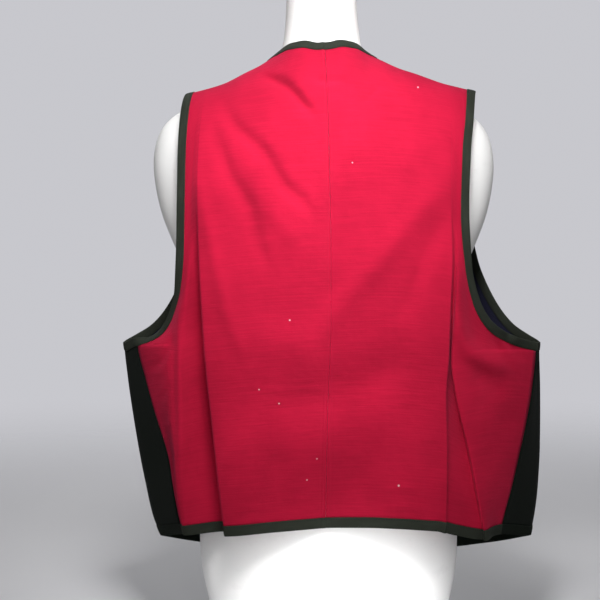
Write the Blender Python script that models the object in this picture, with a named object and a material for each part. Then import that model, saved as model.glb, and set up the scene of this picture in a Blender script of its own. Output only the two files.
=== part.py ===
"""Sleeveless folk vest standing on a limbless dress form.

Frame: metres, +Z up, origin at the centre of the form's flat base. The wearer's front faces -Y, so the
back of the vest faces +Y and the wearer's left side is at +X. Each cloth piece is a thin wall through
a grid of points: stations across the panel and one row for each height. The bound edges are bands
that carry on from the same border points. A point starts on the straight body, as a distance out, a
depth and a distance up, and is then bent over the shoulder.
"""

from math import cos, pi, radians, sin, tan

import bmesh
import bpy
import numpy as np

# ---- driving dimensions (metres) ----
BACK_WALL = 0.0014
FRONT_WALL = 0.0018
BRAID_WALL = 0.0026
BRAID_WIDTH = 0.0105
HEM_WIDTH = 0.0125
SEAM_GAP = 0.0006
BLADE_Z = 0.550
CENTRE_UNDERARM_Z = 0.400
NECK_X = 0.0107
NECK_RADIUS = 0.070
NECK_DROP = 0.38
FRONT_EDGE_X = 0.0130
NOTCH_Z = 0.520
NECK_SLOPE = 0.9
BORDER_PULL = 1.5
FOLD_TURN = 0.004
FOLD_DEPTH = 0.006
PLEAT_OVERLAP = 0.005
PLEAT_DEEP = 0.008
PLEAT_SHUT_Z = 0.42
PLEAT_OPEN_Z = 0.56
OPEN_TUCK = 0.003
OPEN_FLOOR = 0.005
VALLEY_TUCK = 0.002
VALLEY_LEAST = 0.006
VALLEY_RISE = 0.008
FORM_LEAN = tan(radians(0.8))
NECK_TOP_Z = 0.826
CAP_RADIUS = 0.0430
CAP_HEIGHT = 0.009
CAP_GAP = 0.0003
CAP_EDGE = 0.002

# ---- how far each station of the back follows the rise from the centre seam to the border ----
STATION_RISE = {"centre": 0.00, "blade": 0.12, "crest": 0.45, "tuck": 0.50, "floor": 0.58, "ridge": 0.75}

# ---- mesh density ----
LOWER_ROWS = 9
UPPER_ROWS = 15
CHEST_COLUMNS = 10
COLUMN_SPREAD = 1.15
FOLD_SHARE = 0.0154
CHEST_SHARE = 0.045
BACK_STEPS = (4, 4, 1, 1, 2, 3)
WING_STEPS = 2
FORM_SIDES = 48
BRAID_MERGE = 0.00005
FORM_MERGE = 0.0001
SHORTEST = 1e-12

LEFT = 1.0
RIGHT = -1.0
SIDE_NAMES = {LEFT: "left", RIGHT: "right"}


def smooth_curve(at, places, values):
    """Cubic curve through (places, values) that never overshoots them, flat beyond both ends."""
    steps = np.diff(places)
    slopes = np.diff(values) / steps
    tangents = np.concatenate([slopes[:1], slopes[1:], slopes[-1:]])
    tangents[1:-1] = 0.0
    for k in range(1, len(slopes)):
        if slopes[k - 1] * slopes[k] > 0.0:
            tangents[k] = 2.0 * slopes[k - 1] * slopes[k] / (slopes[k - 1] + slopes[k])
    at = float(np.clip(at, places[0], places[-1]))
    k = int(np.clip(np.searchsorted(places, at) - 1, 0, len(steps) - 1))
    t = (at - places[k]) / steps[k]
    value = (2 * t**3 - 3 * t**2 + 1) * values[k] + (3 * t**2 - 2 * t**3) * values[k + 1]
    value += (t**3 - 2 * t**2 + t) * steps[k] * tangents[k]
    return value + (t**3 - t**2) * steps[k] * tangents[k + 1]


class Table:
    """Named columns, one row for each height or distance, read as smooth curves."""

    def __init__(self, names, rows):
        self.names = names.split()
        self.rows = np.array(rows)

    def read(self, name, at):
        return smooth_curve(at, self.rows[:, 0], self.rows[:, self.names.index(name)])


# Height of the shoulder ridge against the distance out from the middle of the neck.
SHOULDER = Table(
    "out     left    right",
    [
        (0.000, 0.8030, 0.8030),
        (0.020, 0.7980, 0.7980),
        (0.040, 0.7790, 0.7800),
        (0.060, 0.7550, 0.7574),
        (0.078, 0.7420, 0.7470),
        (0.100, 0.7310, 0.7370),
        (0.127, 0.7175, 0.7280),
        (0.153, 0.7095, 0.7187),
        (0.179, 0.7030, 0.7122),
        (0.205, 0.6960, 0.7060),
    ],
)

# The centre-back seam wanders a little.
CENTRE_BACK = Table(
    "z       x",
    [
        (0.150, 0.0070),
        (0.240, 0.0058),
        (0.320, 0.0040),
        (0.420, 0.0005),
        (0.510, 0.0006),
        (0.580, 0.0018),
        (0.900, 0.0107),
    ],
)

# Distance out of each line down the back: the crest of the pleat, the soft ridge beyond it, the side
# seam, and the fold at the side where the front turns forward.
BACK_LINES = {
    LEFT: Table(
        "z       crest   ridge   seam    wing",
        [
            (0.120, 0.1310, 0.1780, 0.1830, 0.2200),
            (0.150, 0.1338, 0.1850, 0.1935, 0.2325),
            (0.200, 0.1400, 0.1925, 0.2036, 0.2435),
            (0.232, 0.1435, 0.1942, 0.2085, 0.2496),
            (0.300, 0.1506, 0.1950, 0.2290, 0.2604),
            (0.335, 0.1545, 0.1950, 0.2390, 0.2650),
            (0.379, 0.1585, 0.1930, 0.2500, 0.2692),
            (0.430, 0.1620, 0.1880, 0.2530, 0.2700),
            (0.505, 0.1650, 0.1790, 0.2530, 0.2700),
            (0.590, 0.1660, 0.1760, 0.2530, 0.2700),
            (0.790, 0.1560, 0.1670, 0.2530, 0.2700),
        ],
    ),
    RIGHT: Table(
        "z       crest   ridge   seam    wing",
        [
            (0.120, 0.1439, 0.2040, 0.2150, 0.2640),
            (0.164, 0.1440, 0.1955, 0.2262, 0.2713),
            (0.194, 0.1445, 0.1900, 0.2345, 0.2741),
            (0.245, 0.1447, 0.1813, 0.2466, 0.2762),
            (0.276, 0.1440, 0.1750, 0.2537, 0.2763),
            (0.321, 0.1428, 0.1656, 0.2623, 0.2758),
            (0.372, 0.1460, 0.1600, 0.2680, 0.2742),
            (0.430, 0.1475, 0.1600, 0.2700, 0.2740),
            (0.495, 0.1500, 0.1595, 0.2700, 0.2740),
            (0.590, 0.1480, 0.1570, 0.2700, 0.2740),
            (0.790, 0.1570, 0.1680, 0.2700, 0.2740),
        ],
    ),
}

# How far back each of those lines stands.
BACK_DEPTHS = {
    LEFT: Table(
        "z       centre  blade   crest   tuck    floor   ridge   seam",
        [
            (0.120, 0.1120, 0.1180, 0.1120, 0.0930, 0.0760, 0.0640, 0.0560),
            (0.200, 0.1130, 0.1185, 0.1120, 0.0880, 0.0730, 0.0770, 0.0480),
            (0.300, 0.1130, 0.1180, 0.1110, 0.0860, 0.0720, 0.0820, 0.0390),
            (0.379, 0.1120, 0.1170, 0.1090, 0.0860, 0.0730, 0.0830, 0.0280),
            (0.480, 0.1110, 0.1150, 0.1040, 0.0910, 0.0840, 0.0860, 0.0280),
            (0.560, 0.1090, 0.1120, 0.0980, 0.0950, 0.0930, 0.0880, 0.0280),
            (0.640, 0.1090, 0.1110, 0.0960, 0.0940, 0.0930, 0.0900, 0.0280),
        ],
    ),
    RIGHT: Table(
        "z       centre  blade   crest   tuck    floor   ridge   seam",
        [
            (0.120, 0.1120, 0.1170, 0.1120, 0.1060, 0.0840, 0.0860, 0.0520),
            (0.250, 0.1130, 0.1180, 0.1120, 0.1030, 0.0830, 0.0930, 0.0390),
            (0.372, 0.1120, 0.1170, 0.1080, 0.0980, 0.0870, 0.0920, 0.0220),
            (0.480, 0.1110, 0.1150, 0.1040, 0.0950, 0.0900, 0.0920, 0.0220),
            (0.560, 0.1090, 0.1120, 0.1000, 0.0980, 0.0965, 0.0950, 0.0220),
            (0.640, 0.1090, 0.1110, 0.0980, 0.0970, 0.0960, 0.0940, 0.0220),
        ],
    ),
}

# Border of the back at the armhole, from the side seam up to the shoulder: distance out, depth and
# distance up the body. The last row is stretched to end on the shoulder ridge.
BACK_ARMHOLE = {
    LEFT: Table(
        "share   out     back    up",
        [
            (0.000, 0.2500, 0.0280, 0.3790),
            (0.070, 0.2330, 0.0400, 0.3850),
            (0.130, 0.2160, 0.0530, 0.3960),
            (0.190, 0.2020, 0.0660, 0.4180),
            (0.280, 0.1910, 0.0760, 0.4560),
            (0.400, 0.1865, 0.0830, 0.5050),
            (0.550, 0.1850, 0.0850, 0.5700),
            (0.700, 0.1840, 0.0860, 0.6350),
            (0.830, 0.1820, 0.0860, 0.6940),
            (1.000, 0.1770, 0.0850, 0.7900),
        ],
    ),
    RIGHT: Table(
        "share   out     back    up",
        [
            (0.000, 0.2680, 0.0220, 0.3720),
            (0.080, 0.2440, 0.0380, 0.3790),
            (0.160, 0.2180, 0.0560, 0.3910),
            (0.220, 0.1970, 0.0710, 0.4080),
            (0.290, 0.1800, 0.0820, 0.4380),
            (0.400, 0.1690, 0.0890, 0.4850),
            (0.550, 0.1635, 0.0930, 0.5550),
            (0.700, 0.1660, 0.0920, 0.6250),
            (0.830, 0.1720, 0.0890, 0.6850),
            (1.000, 0.1790, 0.0860, 0.7900),
        ],
    ),
}

# The same border on the front, as a distance in from the fold at the side.
FRONT_ARMHOLE = {
    LEFT: Table(
        "share   inset   up",
        [
            (0.000, 0.0000, 0.3710),
            (0.070, 0.0180, 0.3805),
            (0.140, 0.0370, 0.3920),
            (0.210, 0.0545, 0.4105),
            (0.300, 0.0710, 0.4400),
            (0.420, 0.0860, 0.4850),
            (0.570, 0.0955, 0.5500),
            (0.750, 0.0970, 0.6450),
            (1.000, 0.0930, 0.7900),
        ],
    ),
    RIGHT: Table(
        "share   inset   up",
        [
            (0.000, 0.0000, 0.3710),
            (0.070, 0.0170, 0.3810),
            (0.140, 0.0340, 0.3930),
            (0.210, 0.0500, 0.4120),
            (0.300, 0.0660, 0.4410),
            (0.420, 0.0820, 0.4850),
            (0.570, 0.0930, 0.5500),
            (0.750, 0.0960, 0.6450),
            (1.000, 0.0930, 0.7900),
        ],
    ),
}

# Depth of the front against the distance in from the fold at the side.
FRONT_PROFILE = Table(
    "inset   depth",
    [
        (0.000, 0.0000),
        (0.004, 0.0050),
        (0.012, 0.0110),
        (0.030, 0.0240),
        (0.060, 0.0500),
        (0.090, 0.0760),
        (0.130, 0.1000),
        (0.180, 0.1150),
        (0.230, 0.1210),
        (0.280, 0.1230),
    ],
)

# Top of the hem braid against the distance out, and on the front against the distance in.
BACK_HEM = Table(
    "out     left    right",
    [
        (0.000, 0.1665, 0.1665),
        (0.060, 0.1640, 0.1685),
        (0.135, 0.1575, 0.1640),
        (0.160, 0.1540, 0.1560),
        (0.200, 0.1480, 0.1470),
        (0.230, 0.1460, 0.1480),
    ],
)
FRONT_HEM = Table(
    "inset   z",
    [
        (0.000, 0.1370),
        (0.060, 0.1160),
        (0.100, 0.1050),
        (0.260, 0.0980),
    ],
)

# Half-width and half-depth of the dress form.
FORM_SECTIONS = [
    (0.0000, 0.1440, 0.0830),
    (0.0030, 0.1480, 0.0870),
    (0.0450, 0.1600, 0.0940),
    (0.0900, 0.1680, 0.0970),
    (0.1500, 0.1690, 0.0970),
    (0.2200, 0.1590, 0.0920),
    (0.3000, 0.1480, 0.0860),
    (0.3800, 0.1520, 0.0880),
    (0.4400, 0.1680, 0.0920),
    (0.5000, 0.1930, 0.0940),
    (0.5500, 0.2120, 0.0940),
    (0.6000, 0.2210, 0.0900),
    (0.6350, 0.2190, 0.0830),
    (0.6600, 0.2090, 0.0740),
    (0.6780, 0.1900, 0.0660),
    (0.6920, 0.1580, 0.0600),
    (0.7040, 0.1240, 0.0570),
    (0.7170, 0.0930, 0.0550),
    (0.7310, 0.0690, 0.0530),
    (0.7450, 0.0560, 0.0510),
    (0.7620, 0.0515, 0.0490),
    (0.7900, 0.0475, 0.0470),
    (NECK_TOP_Z, 0.0450, 0.0450),
]

# Name, colour and roughness of each finish.
FINISHES = {
    "crimson_cotton": ((0.42, 0.006, 0.036, 1.0), 0.80),
    "black_wool": ((0.005, 0.007, 0.005, 1.0), 0.90),
    "dark_braid": ((0.030, 0.034, 0.026, 1.0), 0.70),
    "form_white": ((0.88, 0.88, 0.87, 1.0), 0.50),
    "cap_dark": ((0.020, 0.020, 0.022, 1.0), 0.40),
}


# ---- the shape of the cloth ----
def ridge_height(out, side):
    """Height of the shoulder ridge above a point, from its distance out from the centre."""
    from_neck = abs(side * out - NECK_X)
    return SHOULDER.read(SIDE_NAMES[side], from_neck)


def bent(point, side):
    """World place of a point given as (distance out, depth, distance up the body)."""
    out, back, up = point
    rise = ridge_height(out, side) - BLADE_Z
    turn = max(0.0, up - BLADE_Z) / rise
    if turn > 0.0:
        back *= cos(turn)
        up = BLADE_Z + rise * sin(turn)
    return (side * out, back, up)


def shoulder_up(out, side):
    """Distance up the body of the shoulder seam, or of the neck edge further in."""
    from_neck = abs(side * out - NECK_X)
    turn = pi / 2.0
    if from_neck < NECK_RADIUS:
        turn *= 1.0 - NECK_DROP * (1.0 - (from_neck / NECK_RADIUS) ** 2)
    return BLADE_Z + (ridge_height(out, side) - BLADE_Z) * turn


def neck_point(side):
    """Distance out of the point where the neck edge meets the shoulder seam."""
    return NECK_RADIUS + side * NECK_X


def onto_shoulder(up, last_up, out, side):
    """Stretch a distance up the body so that last_up comes to lie on the shoulder ridge."""
    if up <= BLADE_Z:
        return up
    return BLADE_Z + (up - BLADE_Z) * (shoulder_up(out, side) - BLADE_Z) / (last_up - BLADE_Z)


def through_stations(stations, steps, before_first=None, after_last=None):
    """Rounded row of points through the stations, with the given steps between each pair."""
    stations = np.array(stations)
    if before_first is None:
        before_first = 2.0 * stations[0] - stations[1]
    if after_last is None:
        after_last = 2.0 * stations[-1] - stations[-2]
    padded = np.vstack([before_first, stations, after_last])
    row = [stations[0]]
    for k, count in enumerate(steps):
        before, start, end, after = padded[k : k + 4]
        reach = np.linalg.norm(end - start)
        into = (end - before) * reach / (reach + np.linalg.norm(start - before))
        out_of = (after - start) * reach / (reach + np.linalg.norm(after - end))
        for step in range(1, count + 1):
            t = step / count
            point = (2 * t**3 - 3 * t**2 + 1) * start + (3 * t**2 - 2 * t**3) * end
            row.append(point + (t**3 - 2 * t**2 + t) * into + (t**3 - t**2) * out_of)
    return row


def side_seam(side, lower):
    """Point of the side seam, from the top of the hem braid up to the armhole."""
    top = BACK_ARMHOLE[side].rows[0, 3]
    low = BACK_HEM.read(SIDE_NAMES[side], BACK_LINES[side].read("seam", 0.150))
    up = low + (top - low) * lower
    return np.array([BACK_LINES[side].read("seam", up), BACK_DEPTHS[side].read("seam", up), up])


def side_fold(side, lower):
    """Start and tip of the fold at the side, where the front turns forward."""
    low = FRONT_HEM.read("z", 0.0)
    up = low + (FRONT_ARMHOLE[side].rows[0, 2] - low) * lower
    wing = BACK_LINES[side].read("wing", up)
    return np.array([wing - FOLD_TURN, FOLD_DEPTH, up]), np.array([wing, 0.0, up])


def back_armhole(side, upper):
    """Border of the back at the armhole."""
    armhole = BACK_ARMHOLE[side]
    out, back, up = (armhole.read(name, upper) for name in ("out", "back", "up"))
    return np.array([out, back, onto_shoulder(up, armhole.rows[-1, 3], out, side)])


def back_level(side, lower, upper):
    """Height of a row at the centre-back seam, before the edges are trued up."""
    if upper > 0.0:
        return CENTRE_UNDERARM_Z + (shoulder_up(side * NECK_X, side) - CENTRE_UNDERARM_Z) * upper
    return BACK_HEM.rows[0, 1] + (CENTRE_UNDERARM_Z - BACK_HEM.rows[0, 1]) * lower


def pleat_lines(side, up):
    """Distance out of the crest, tuck, floor and ridge of the long pleat beside the armhole."""
    crest = BACK_LINES[side].read("crest", up)
    ridge = BACK_LINES[side].read("ridge", up)
    closed = smooth_curve(up, (PLEAT_SHUT_Z, PLEAT_OPEN_Z), (1.0, 0.0))
    if side == LEFT:
        tuck = crest + OPEN_TUCK - (PLEAT_OVERLAP + OPEN_TUCK) * closed
        floor = crest + OPEN_FLOOR + (PLEAT_DEEP - OPEN_FLOOR) * closed
    else:
        tuck = crest + VALLEY_TUCK
        floor = max(ridge - VALLEY_RISE, crest + VALLEY_LEAST)
    return crest, tuck, floor, ridge


def back_row(side, lower, upper):
    """One row across half of the back, from the centre seam to the side seam or the armhole."""
    border = back_armhole(side, upper) if upper > 0.0 else side_seam(side, lower)
    level = back_level(side, lower, upper)
    middle = level + (border[2] - level) * 0.5
    centre = side * CENTRE_BACK.read("x", level)
    crest, tuck, floor, ridge = pleat_lines(side, middle)
    blade = centre + (crest - centre) * 0.5
    blade += (neck_point(side) - blade) * upper**2
    stations = []
    for (name, weight), out in zip(STATION_RISE.items(), (centre, blade, crest, tuck, floor, ridge)):
        up = level + (border[2] - level) * weight
        stations.append([out, BACK_DEPTHS[side].read(name, up), up, weight])
    stations.append([*border, 1.0])
    beyond = None
    if upper == 0.0:
        beyond = np.array([*side_fold(side, lower)[0], 1.0])
    row = through_stations(stations, BACK_STEPS, after_last=beyond)
    inner_end = shoulder_up(side * NECK_X, side)
    outer_end = shoulder_up(border[0], side)
    hem_level = back_level(side, 0.0, 0.0)
    hem_border = side_seam(side, 0.0)[2]
    points = []
    for out, back, up, weight in row:
        if upper > 0.0:
            end = inner_end + (outer_end - inner_end) * weight
            up += (shoulder_up(out, side) - end) * upper**3
        else:
            start = hem_level + (hem_border - hem_level) * weight
            up += (BACK_HEM.read(SIDE_NAMES[side], out) - start) * (1.0 - lower)
        points.append((out, back, up))
    return points


def back_grid(side):
    """All rows of half of the back, hem to shoulder."""
    rows = []
    for row in range(LOWER_ROWS + UPPER_ROWS + 1):
        lower = min(1.0, row / LOWER_ROWS)
        upper = max(0.0, (row - LOWER_ROWS) / UPPER_ROWS)
        rows.append([bent(point, side) for point in back_row(side, lower, upper)])
    return np.array(rows)


def front_inner(side, up):
    """Distance out of the front edge: straight below the notch, sloping up to the neck above it."""
    top = shoulder_up(neck_point(side), side)
    climb = max(0.0, (up - NOTCH_Z) / (top - NOTCH_Z))
    return FRONT_EDGE_X + (neck_point(side) - FRONT_EDGE_X) * climb**NECK_SLOPE


def wing_points(side, lower):
    """Back part of one row of the front, from the side seam towards the fold at the side."""
    turn_start, fold = side_fold(side, lower)
    seam = side_seam(side, lower)
    ridge_out = BACK_LINES[side].read("ridge", seam[2])
    ridge = [ridge_out, BACK_DEPTHS[side].read("ridge", seam[2]), seam[2]]
    return through_stations([seam, turn_start], (WING_STEPS,), ridge, fold)


def front_shares():
    """Places of the columns of the front, as shares of its width, closer together at the side."""
    spread = [(k / CHEST_COLUMNS) ** COLUMN_SPREAD for k in range(CHEST_COLUMNS + 1)]
    return [0.0, FOLD_SHARE] + [CHEST_SHARE + (1.0 - CHEST_SHARE) * share for share in spread]


def front_row(side, lower, upper):
    """One row of the front, from the fold at the side (or the armhole) to the front edge."""
    armhole = FRONT_ARMHOLE[side]
    wing = BACK_LINES[side].read("wing", armhole.read("up", upper))
    tip = BACK_ARMHOLE[side].rows[-1, 1]
    inset = armhole.read("inset", upper)
    inset *= 1.0 + ((wing - tip) / armhole.rows[-1, 1] - 1.0) * upper
    border_up = onto_shoulder(armhole.read("up", upper), armhole.rows[-1, 2], wing - inset, side)
    end_up = shoulder_up(neck_point(side), side)
    inner_up = CENTRE_UNDERARM_Z + (end_up - CENTRE_UNDERARM_Z) * upper
    row = []
    for share in front_shares():
        weight = (1.0 - share) ** BORDER_PULL
        up = inner_up + (border_up - inner_up) * weight
        if upper > 0.0:
            edge = front_inner(side, inner_up)
            out = wing - inset + (edge - wing + inset) * share
            end = end_up + (shoulder_up(tip, side) - end_up) * weight
            up += (shoulder_up(out, side) - end) * upper**3
        else:
            span = wing - FRONT_EDGE_X
            hem = FRONT_HEM.read("z", span * share)
            up = hem + (up - hem) * lower
            wing = BACK_LINES[side].read("wing", up)
            out = wing + (FRONT_EDGE_X - wing) * share
        row.append(np.array([out, -FRONT_PROFILE.read("depth", wing - out), up]))
    return row


def front_grid(side):
    """All rows of one front; the part behind the fold at the side stops at the armhole."""
    rows = []
    for row in range(LOWER_ROWS + UPPER_ROWS + 1):
        lower = min(1.0, row / LOWER_ROWS)
        upper = max(0.0, (row - LOWER_ROWS) / UPPER_ROWS)
        points = wing_points(side, lower) + front_row(side, lower, upper)
        rows.append([bent(point, side) for point in points])
    return np.array(rows)


# ---- meshes and materials ----
def finish(name):
    """Principled material of the given finish."""
    colour, roughness = FINISHES[name]
    material = bpy.data.materials.new(name)
    material.use_nodes = True
    shader = material.node_tree.nodes["Principled BSDF"]
    shader.inputs["Base Color"].default_value = colour
    shader.inputs["Roughness"].default_value = roughness
    shader.inputs["Metallic"].default_value = 0.0
    return material


def grid_mesh(points):
    """Bmesh sheet through a grid of points, with the vertices listed in rows."""
    rows, columns = points.shape[:2]
    mesh = bmesh.new()
    bmesh.ops.create_grid(mesh, x_segments=columns - 1, y_segments=rows - 1, size=0.5)
    table = [[None] * columns for _ in range(rows)]
    for vertex in mesh.verts:
        column = round((vertex.co.x + 0.5) * (columns - 1))
        row = round((vertex.co.y + 0.5) * (rows - 1))
        table[row][column] = vertex
    for row in range(rows):
        for column in range(columns):
            table[row][column].co = points[row][column]
    return mesh, table


def add_object(name, mesh, material):
    """Scene object of the finished mesh."""
    data = bpy.data.meshes.new(name)
    mesh.to_mesh(data)
    mesh.free()
    data.materials.append(material)
    data.shade_smooth()
    piece = bpy.data.objects.new(name, data)
    bpy.context.scene.collection.objects.link(piece)
    return piece


def cloth_wall(name, mesh, wall, material):
    """Cloth of the given thickness, half of it on each side of the sheet."""
    piece = add_object(name, mesh, material)
    solidify = piece.modifiers.new("Wall", "SOLIDIFY")
    solidify.thickness = wall
    solidify.offset = 0.0
    return piece


def pulled_in(points):
    """Grid with its outermost points drawn in by half of a seam gap."""
    drawn = points.copy()
    for border, inner in (
        (np.s_[0, :], np.s_[1, :]),
        (np.s_[-1, :], np.s_[-2, :]),
        (np.s_[:, 0], np.s_[:, 1]),
        (np.s_[:, -1], np.s_[:, -2]),
    ):
        way = points[inner] - points[border]
        length = np.linalg.norm(way, axis=-1, keepdims=True)
        drawn[border] += way / np.maximum(length, SEAM_GAP) * SEAM_GAP / 2.0
    return drawn


def grid_normals(points, side):
    """Outward direction of the cloth at each point of a grid."""
    across = np.gradient(points, axis=1)
    upward = np.gradient(points, axis=0)
    normals = np.cross(upward, across) * side
    return normals / np.maximum(np.linalg.norm(normals, axis=-1, keepdims=True), SHORTEST)


def band_rows(border, normals, width, away, closed=False):
    """Inner and outer rows of a braid that carries on from a border of the cloth."""
    if closed:
        along = np.roll(border, -1, axis=0) - np.roll(border, 1, axis=0)
    else:
        along = np.gradient(border, axis=0)
    outward = np.cross(along, normals)
    outward /= np.linalg.norm(outward, axis=1, keepdims=True)
    outward *= away
    return np.array([border + outward * SEAM_GAP, border + outward * width])


def cut_ends(rows, first, last):
    """Stretch of a band between two stations, drawn in by half of a seam gap at both ends."""
    piece = rows[:, first : last + 1].copy()
    for end, inner in ((0, 1), (-1, -2)):
        way = piece[:, inner] - piece[:, end]
        piece[:, end] += way / np.linalg.norm(way, axis=1, keepdims=True) * SEAM_GAP / 2.0
    return piece


def braid(name, rows, closed=False):
    """Band of braid through its inner and outer rows."""
    if closed:
        rows = np.concatenate([rows, rows[:, :1]], axis=1)
    mesh, _ = grid_mesh(rows)
    if closed:
        bmesh.ops.remove_doubles(mesh, verts=mesh.verts, dist=BRAID_MERGE)
    bmesh.ops.recalc_face_normals(mesh, faces=mesh.faces)
    return cloth_wall(name, mesh, BRAID_WALL, bpy.data.materials["dark_braid"])


def dress_form():
    """Smooth limbless torso, closed at its flat base and at the top of the neck."""
    rings = []
    turns = [2.0 * pi * k / FORM_SIDES for k in range(FORM_SIDES + 1)]
    for z, half_width, half_depth in FORM_SECTIONS:
        middle = z * FORM_LEAN
        rings.append([(middle + half_width * cos(a), half_depth * sin(a), z) for a in turns])
    mesh, _ = grid_mesh(np.array(rings))
    bmesh.ops.remove_doubles(mesh, verts=mesh.verts, dist=FORM_MERGE)
    bmesh.ops.holes_fill(mesh, edges=mesh.edges, sides=FORM_SIDES)
    bmesh.ops.recalc_face_normals(mesh, faces=mesh.faces)
    return add_object("dress_form", mesh, bpy.data.materials["form_white"])


def neck_cap():
    """Dark disc that closes the top of the neck."""
    mesh = bmesh.new()
    bmesh.ops.create_cone(
        mesh,
        cap_ends=True,
        segments=FORM_SIDES,
        radius1=CAP_RADIUS,
        radius2=CAP_RADIUS,
        depth=CAP_HEIGHT,
    )
    cap = add_object("neck_cap", mesh, bpy.data.materials["cap_dark"])
    middle = NECK_TOP_Z + CAP_GAP + CAP_HEIGHT / 2.0
    cap.location = (NECK_TOP_Z * FORM_LEAN, 0.0, middle)
    bevel = cap.modifiers.new("Rounded edge", "BEVEL")
    bevel.width = CAP_EDGE
    bevel.segments = 2
    return cap


def vest():
    """All the cloth of the vest: two back halves, two fronts and the braid on their edges."""
    backs = {side: back_grid(side) for side in (LEFT, RIGHT)}
    fronts = {side: front_grid(side) for side in (LEFT, RIGHT)}
    back_out = {side: grid_normals(backs[side], side) for side in backs}
    fold_column = WING_STEPS + 1
    front_out = {}
    for side in fronts:
        above = grid_normals(fronts[side][LOWER_ROWS:, fold_column:], side)
        front_out[side] = grid_normals(fronts[side], side)
        front_out[side][: LOWER_ROWS + 1] = grid_normals(fronts[side][: LOWER_ROWS + 1], side)
        front_out[side][LOWER_ROWS + 1 :, fold_column:] = above[1:]
    neck_columns = BACK_STEPS[0]
    for side in (LEFT, RIGHT):
        name = SIDE_NAMES[side]
        mesh, _ = grid_mesh(pulled_in(backs[side]))
        cloth_wall("back_" + name, mesh, BACK_WALL, bpy.data.materials["crimson_cotton"])
        points = pulled_in(fronts[side])
        mesh, table = grid_mesh(points)
        beyond = []
        for row in range(LOWER_ROWS + 1, LOWER_ROWS + UPPER_ROWS + 1):
            beyond += table[row][:fold_column]
        bmesh.ops.delete(mesh, geom=beyond, context="VERTS")
        cloth_wall("front_" + name, mesh, FRONT_WALL, bpy.data.materials["black_wool"])

        def ring(back_values, front_values):
            seam = (back_values[LOWER_ROWS, -1:] + front_values[LOWER_ROWS, :1]) / 2.0
            up_back = back_values[LOWER_ROWS + 1 :, -1]
            down_front = front_values[LOWER_ROWS:-1, fold_column][::-1]
            under_arm = front_values[LOWER_ROWS, 1:fold_column][::-1]
            return np.concatenate([seam, up_back, down_front, under_arm])

        border = ring(backs[side], fronts[side])
        rows = band_rows(border, ring(back_out[side], front_out[side]), BRAID_WIDTH, -side, closed=True)
        braid("binding_armhole_" + name, rows, closed=True)

    def edge_chain(back_values, front_values):
        up_left = front_values[LEFT][:, -1]
        neck_left = back_values[LEFT][-1, 1:neck_columns][::-1]
        middle = (back_values[LEFT][-1, 0] + back_values[RIGHT][-1, 0])[None] / 2.0
        neck_right = back_values[RIGHT][-1, 1:neck_columns]
        down_right = front_values[RIGHT][:, -1][::-1]
        return np.concatenate([up_left, neck_left, middle, neck_right, down_right])

    rows = band_rows(edge_chain(backs, fronts), edge_chain(back_out, front_out), BRAID_WIDTH, -1.0)
    foot = np.array([0.0, 0.0, HEM_WIDTH])
    rows = np.concatenate([rows[:, :1] - foot, rows, rows[:, -1:] - foot], axis=1)
    side_count = LOWER_ROWS + UPPER_ROWS + 1
    total = rows.shape[1] - 1
    braid("binding_front_left", cut_ends(rows, 0, side_count))
    braid("binding_neck", cut_ends(rows, side_count, total - side_count))
    braid("binding_front_right", cut_ends(rows, total - side_count, total))

    def hem_chain(back_values, front_values):
        round_left = front_values[LEFT][0, ::-1]
        back_left = back_values[LEFT][0, 1:-1][::-1]
        middle = (back_values[LEFT][0, 0] + back_values[RIGHT][0, 0])[None] / 2.0
        back_right = back_values[RIGHT][0, 1:-1]
        round_right = front_values[RIGHT][0]
        return np.concatenate([round_left, back_left, middle, back_right, round_right])

    rows = band_rows(hem_chain(backs, fronts), hem_chain(back_out, front_out), HEM_WIDTH, 1.0)
    seam = fronts[LEFT].shape[1] - 1
    total = rows.shape[1] - 1
    braid("binding_hem_left", cut_ends(rows, 0, seam))
    braid("binding_hem_back", cut_ends(rows, seam, total - seam))
    braid("binding_hem_right", cut_ends(rows, total - seam, total))


def main():
    for old in list(bpy.data.objects):
        bpy.data.objects.remove(old, do_unlink=True)
    for name in FINISHES:
        finish(name)
    vest()
    dress_form()
    neck_cap()


main()
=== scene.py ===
"""Looks of a sleeveless folk vest on a limbless dress form.

Metres, +Z up, origin at the centre of the form's flat base. The wearer's front faces -Y, so the red back
of the vest faces +Y and the wearer's left side is at +X. Each cloth panel is a thin shell through a fine
grid of points on the form that the frame's solids give, with its folds as soft troughs and ridges. The
edges are bound with a tape that is folded over them.
"""

from bisect import bisect_right
from collections import namedtuple
from functools import cache
from math import cos, pi, radians, sin, tan

import bmesh
import bpy
import numpy as np
from bpy.props import FloatProperty, FloatVectorProperty, PointerProperty
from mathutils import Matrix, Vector


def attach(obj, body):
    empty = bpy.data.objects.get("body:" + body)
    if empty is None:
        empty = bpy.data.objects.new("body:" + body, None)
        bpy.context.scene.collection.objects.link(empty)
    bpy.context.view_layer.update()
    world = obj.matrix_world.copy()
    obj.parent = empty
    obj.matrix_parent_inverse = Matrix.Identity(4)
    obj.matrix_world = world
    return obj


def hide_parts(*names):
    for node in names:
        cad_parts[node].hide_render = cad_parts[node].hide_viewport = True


bl_info = {
    "name": "Folk vest",
    "version": (1, 0, 0),
    "blender": (4, 5, 0),
    "location": "3D View > Sidebar > Vest",
    "description": "Red and black folk vest with bound edges, on a dress form",
    "category": "Object",
}

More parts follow.
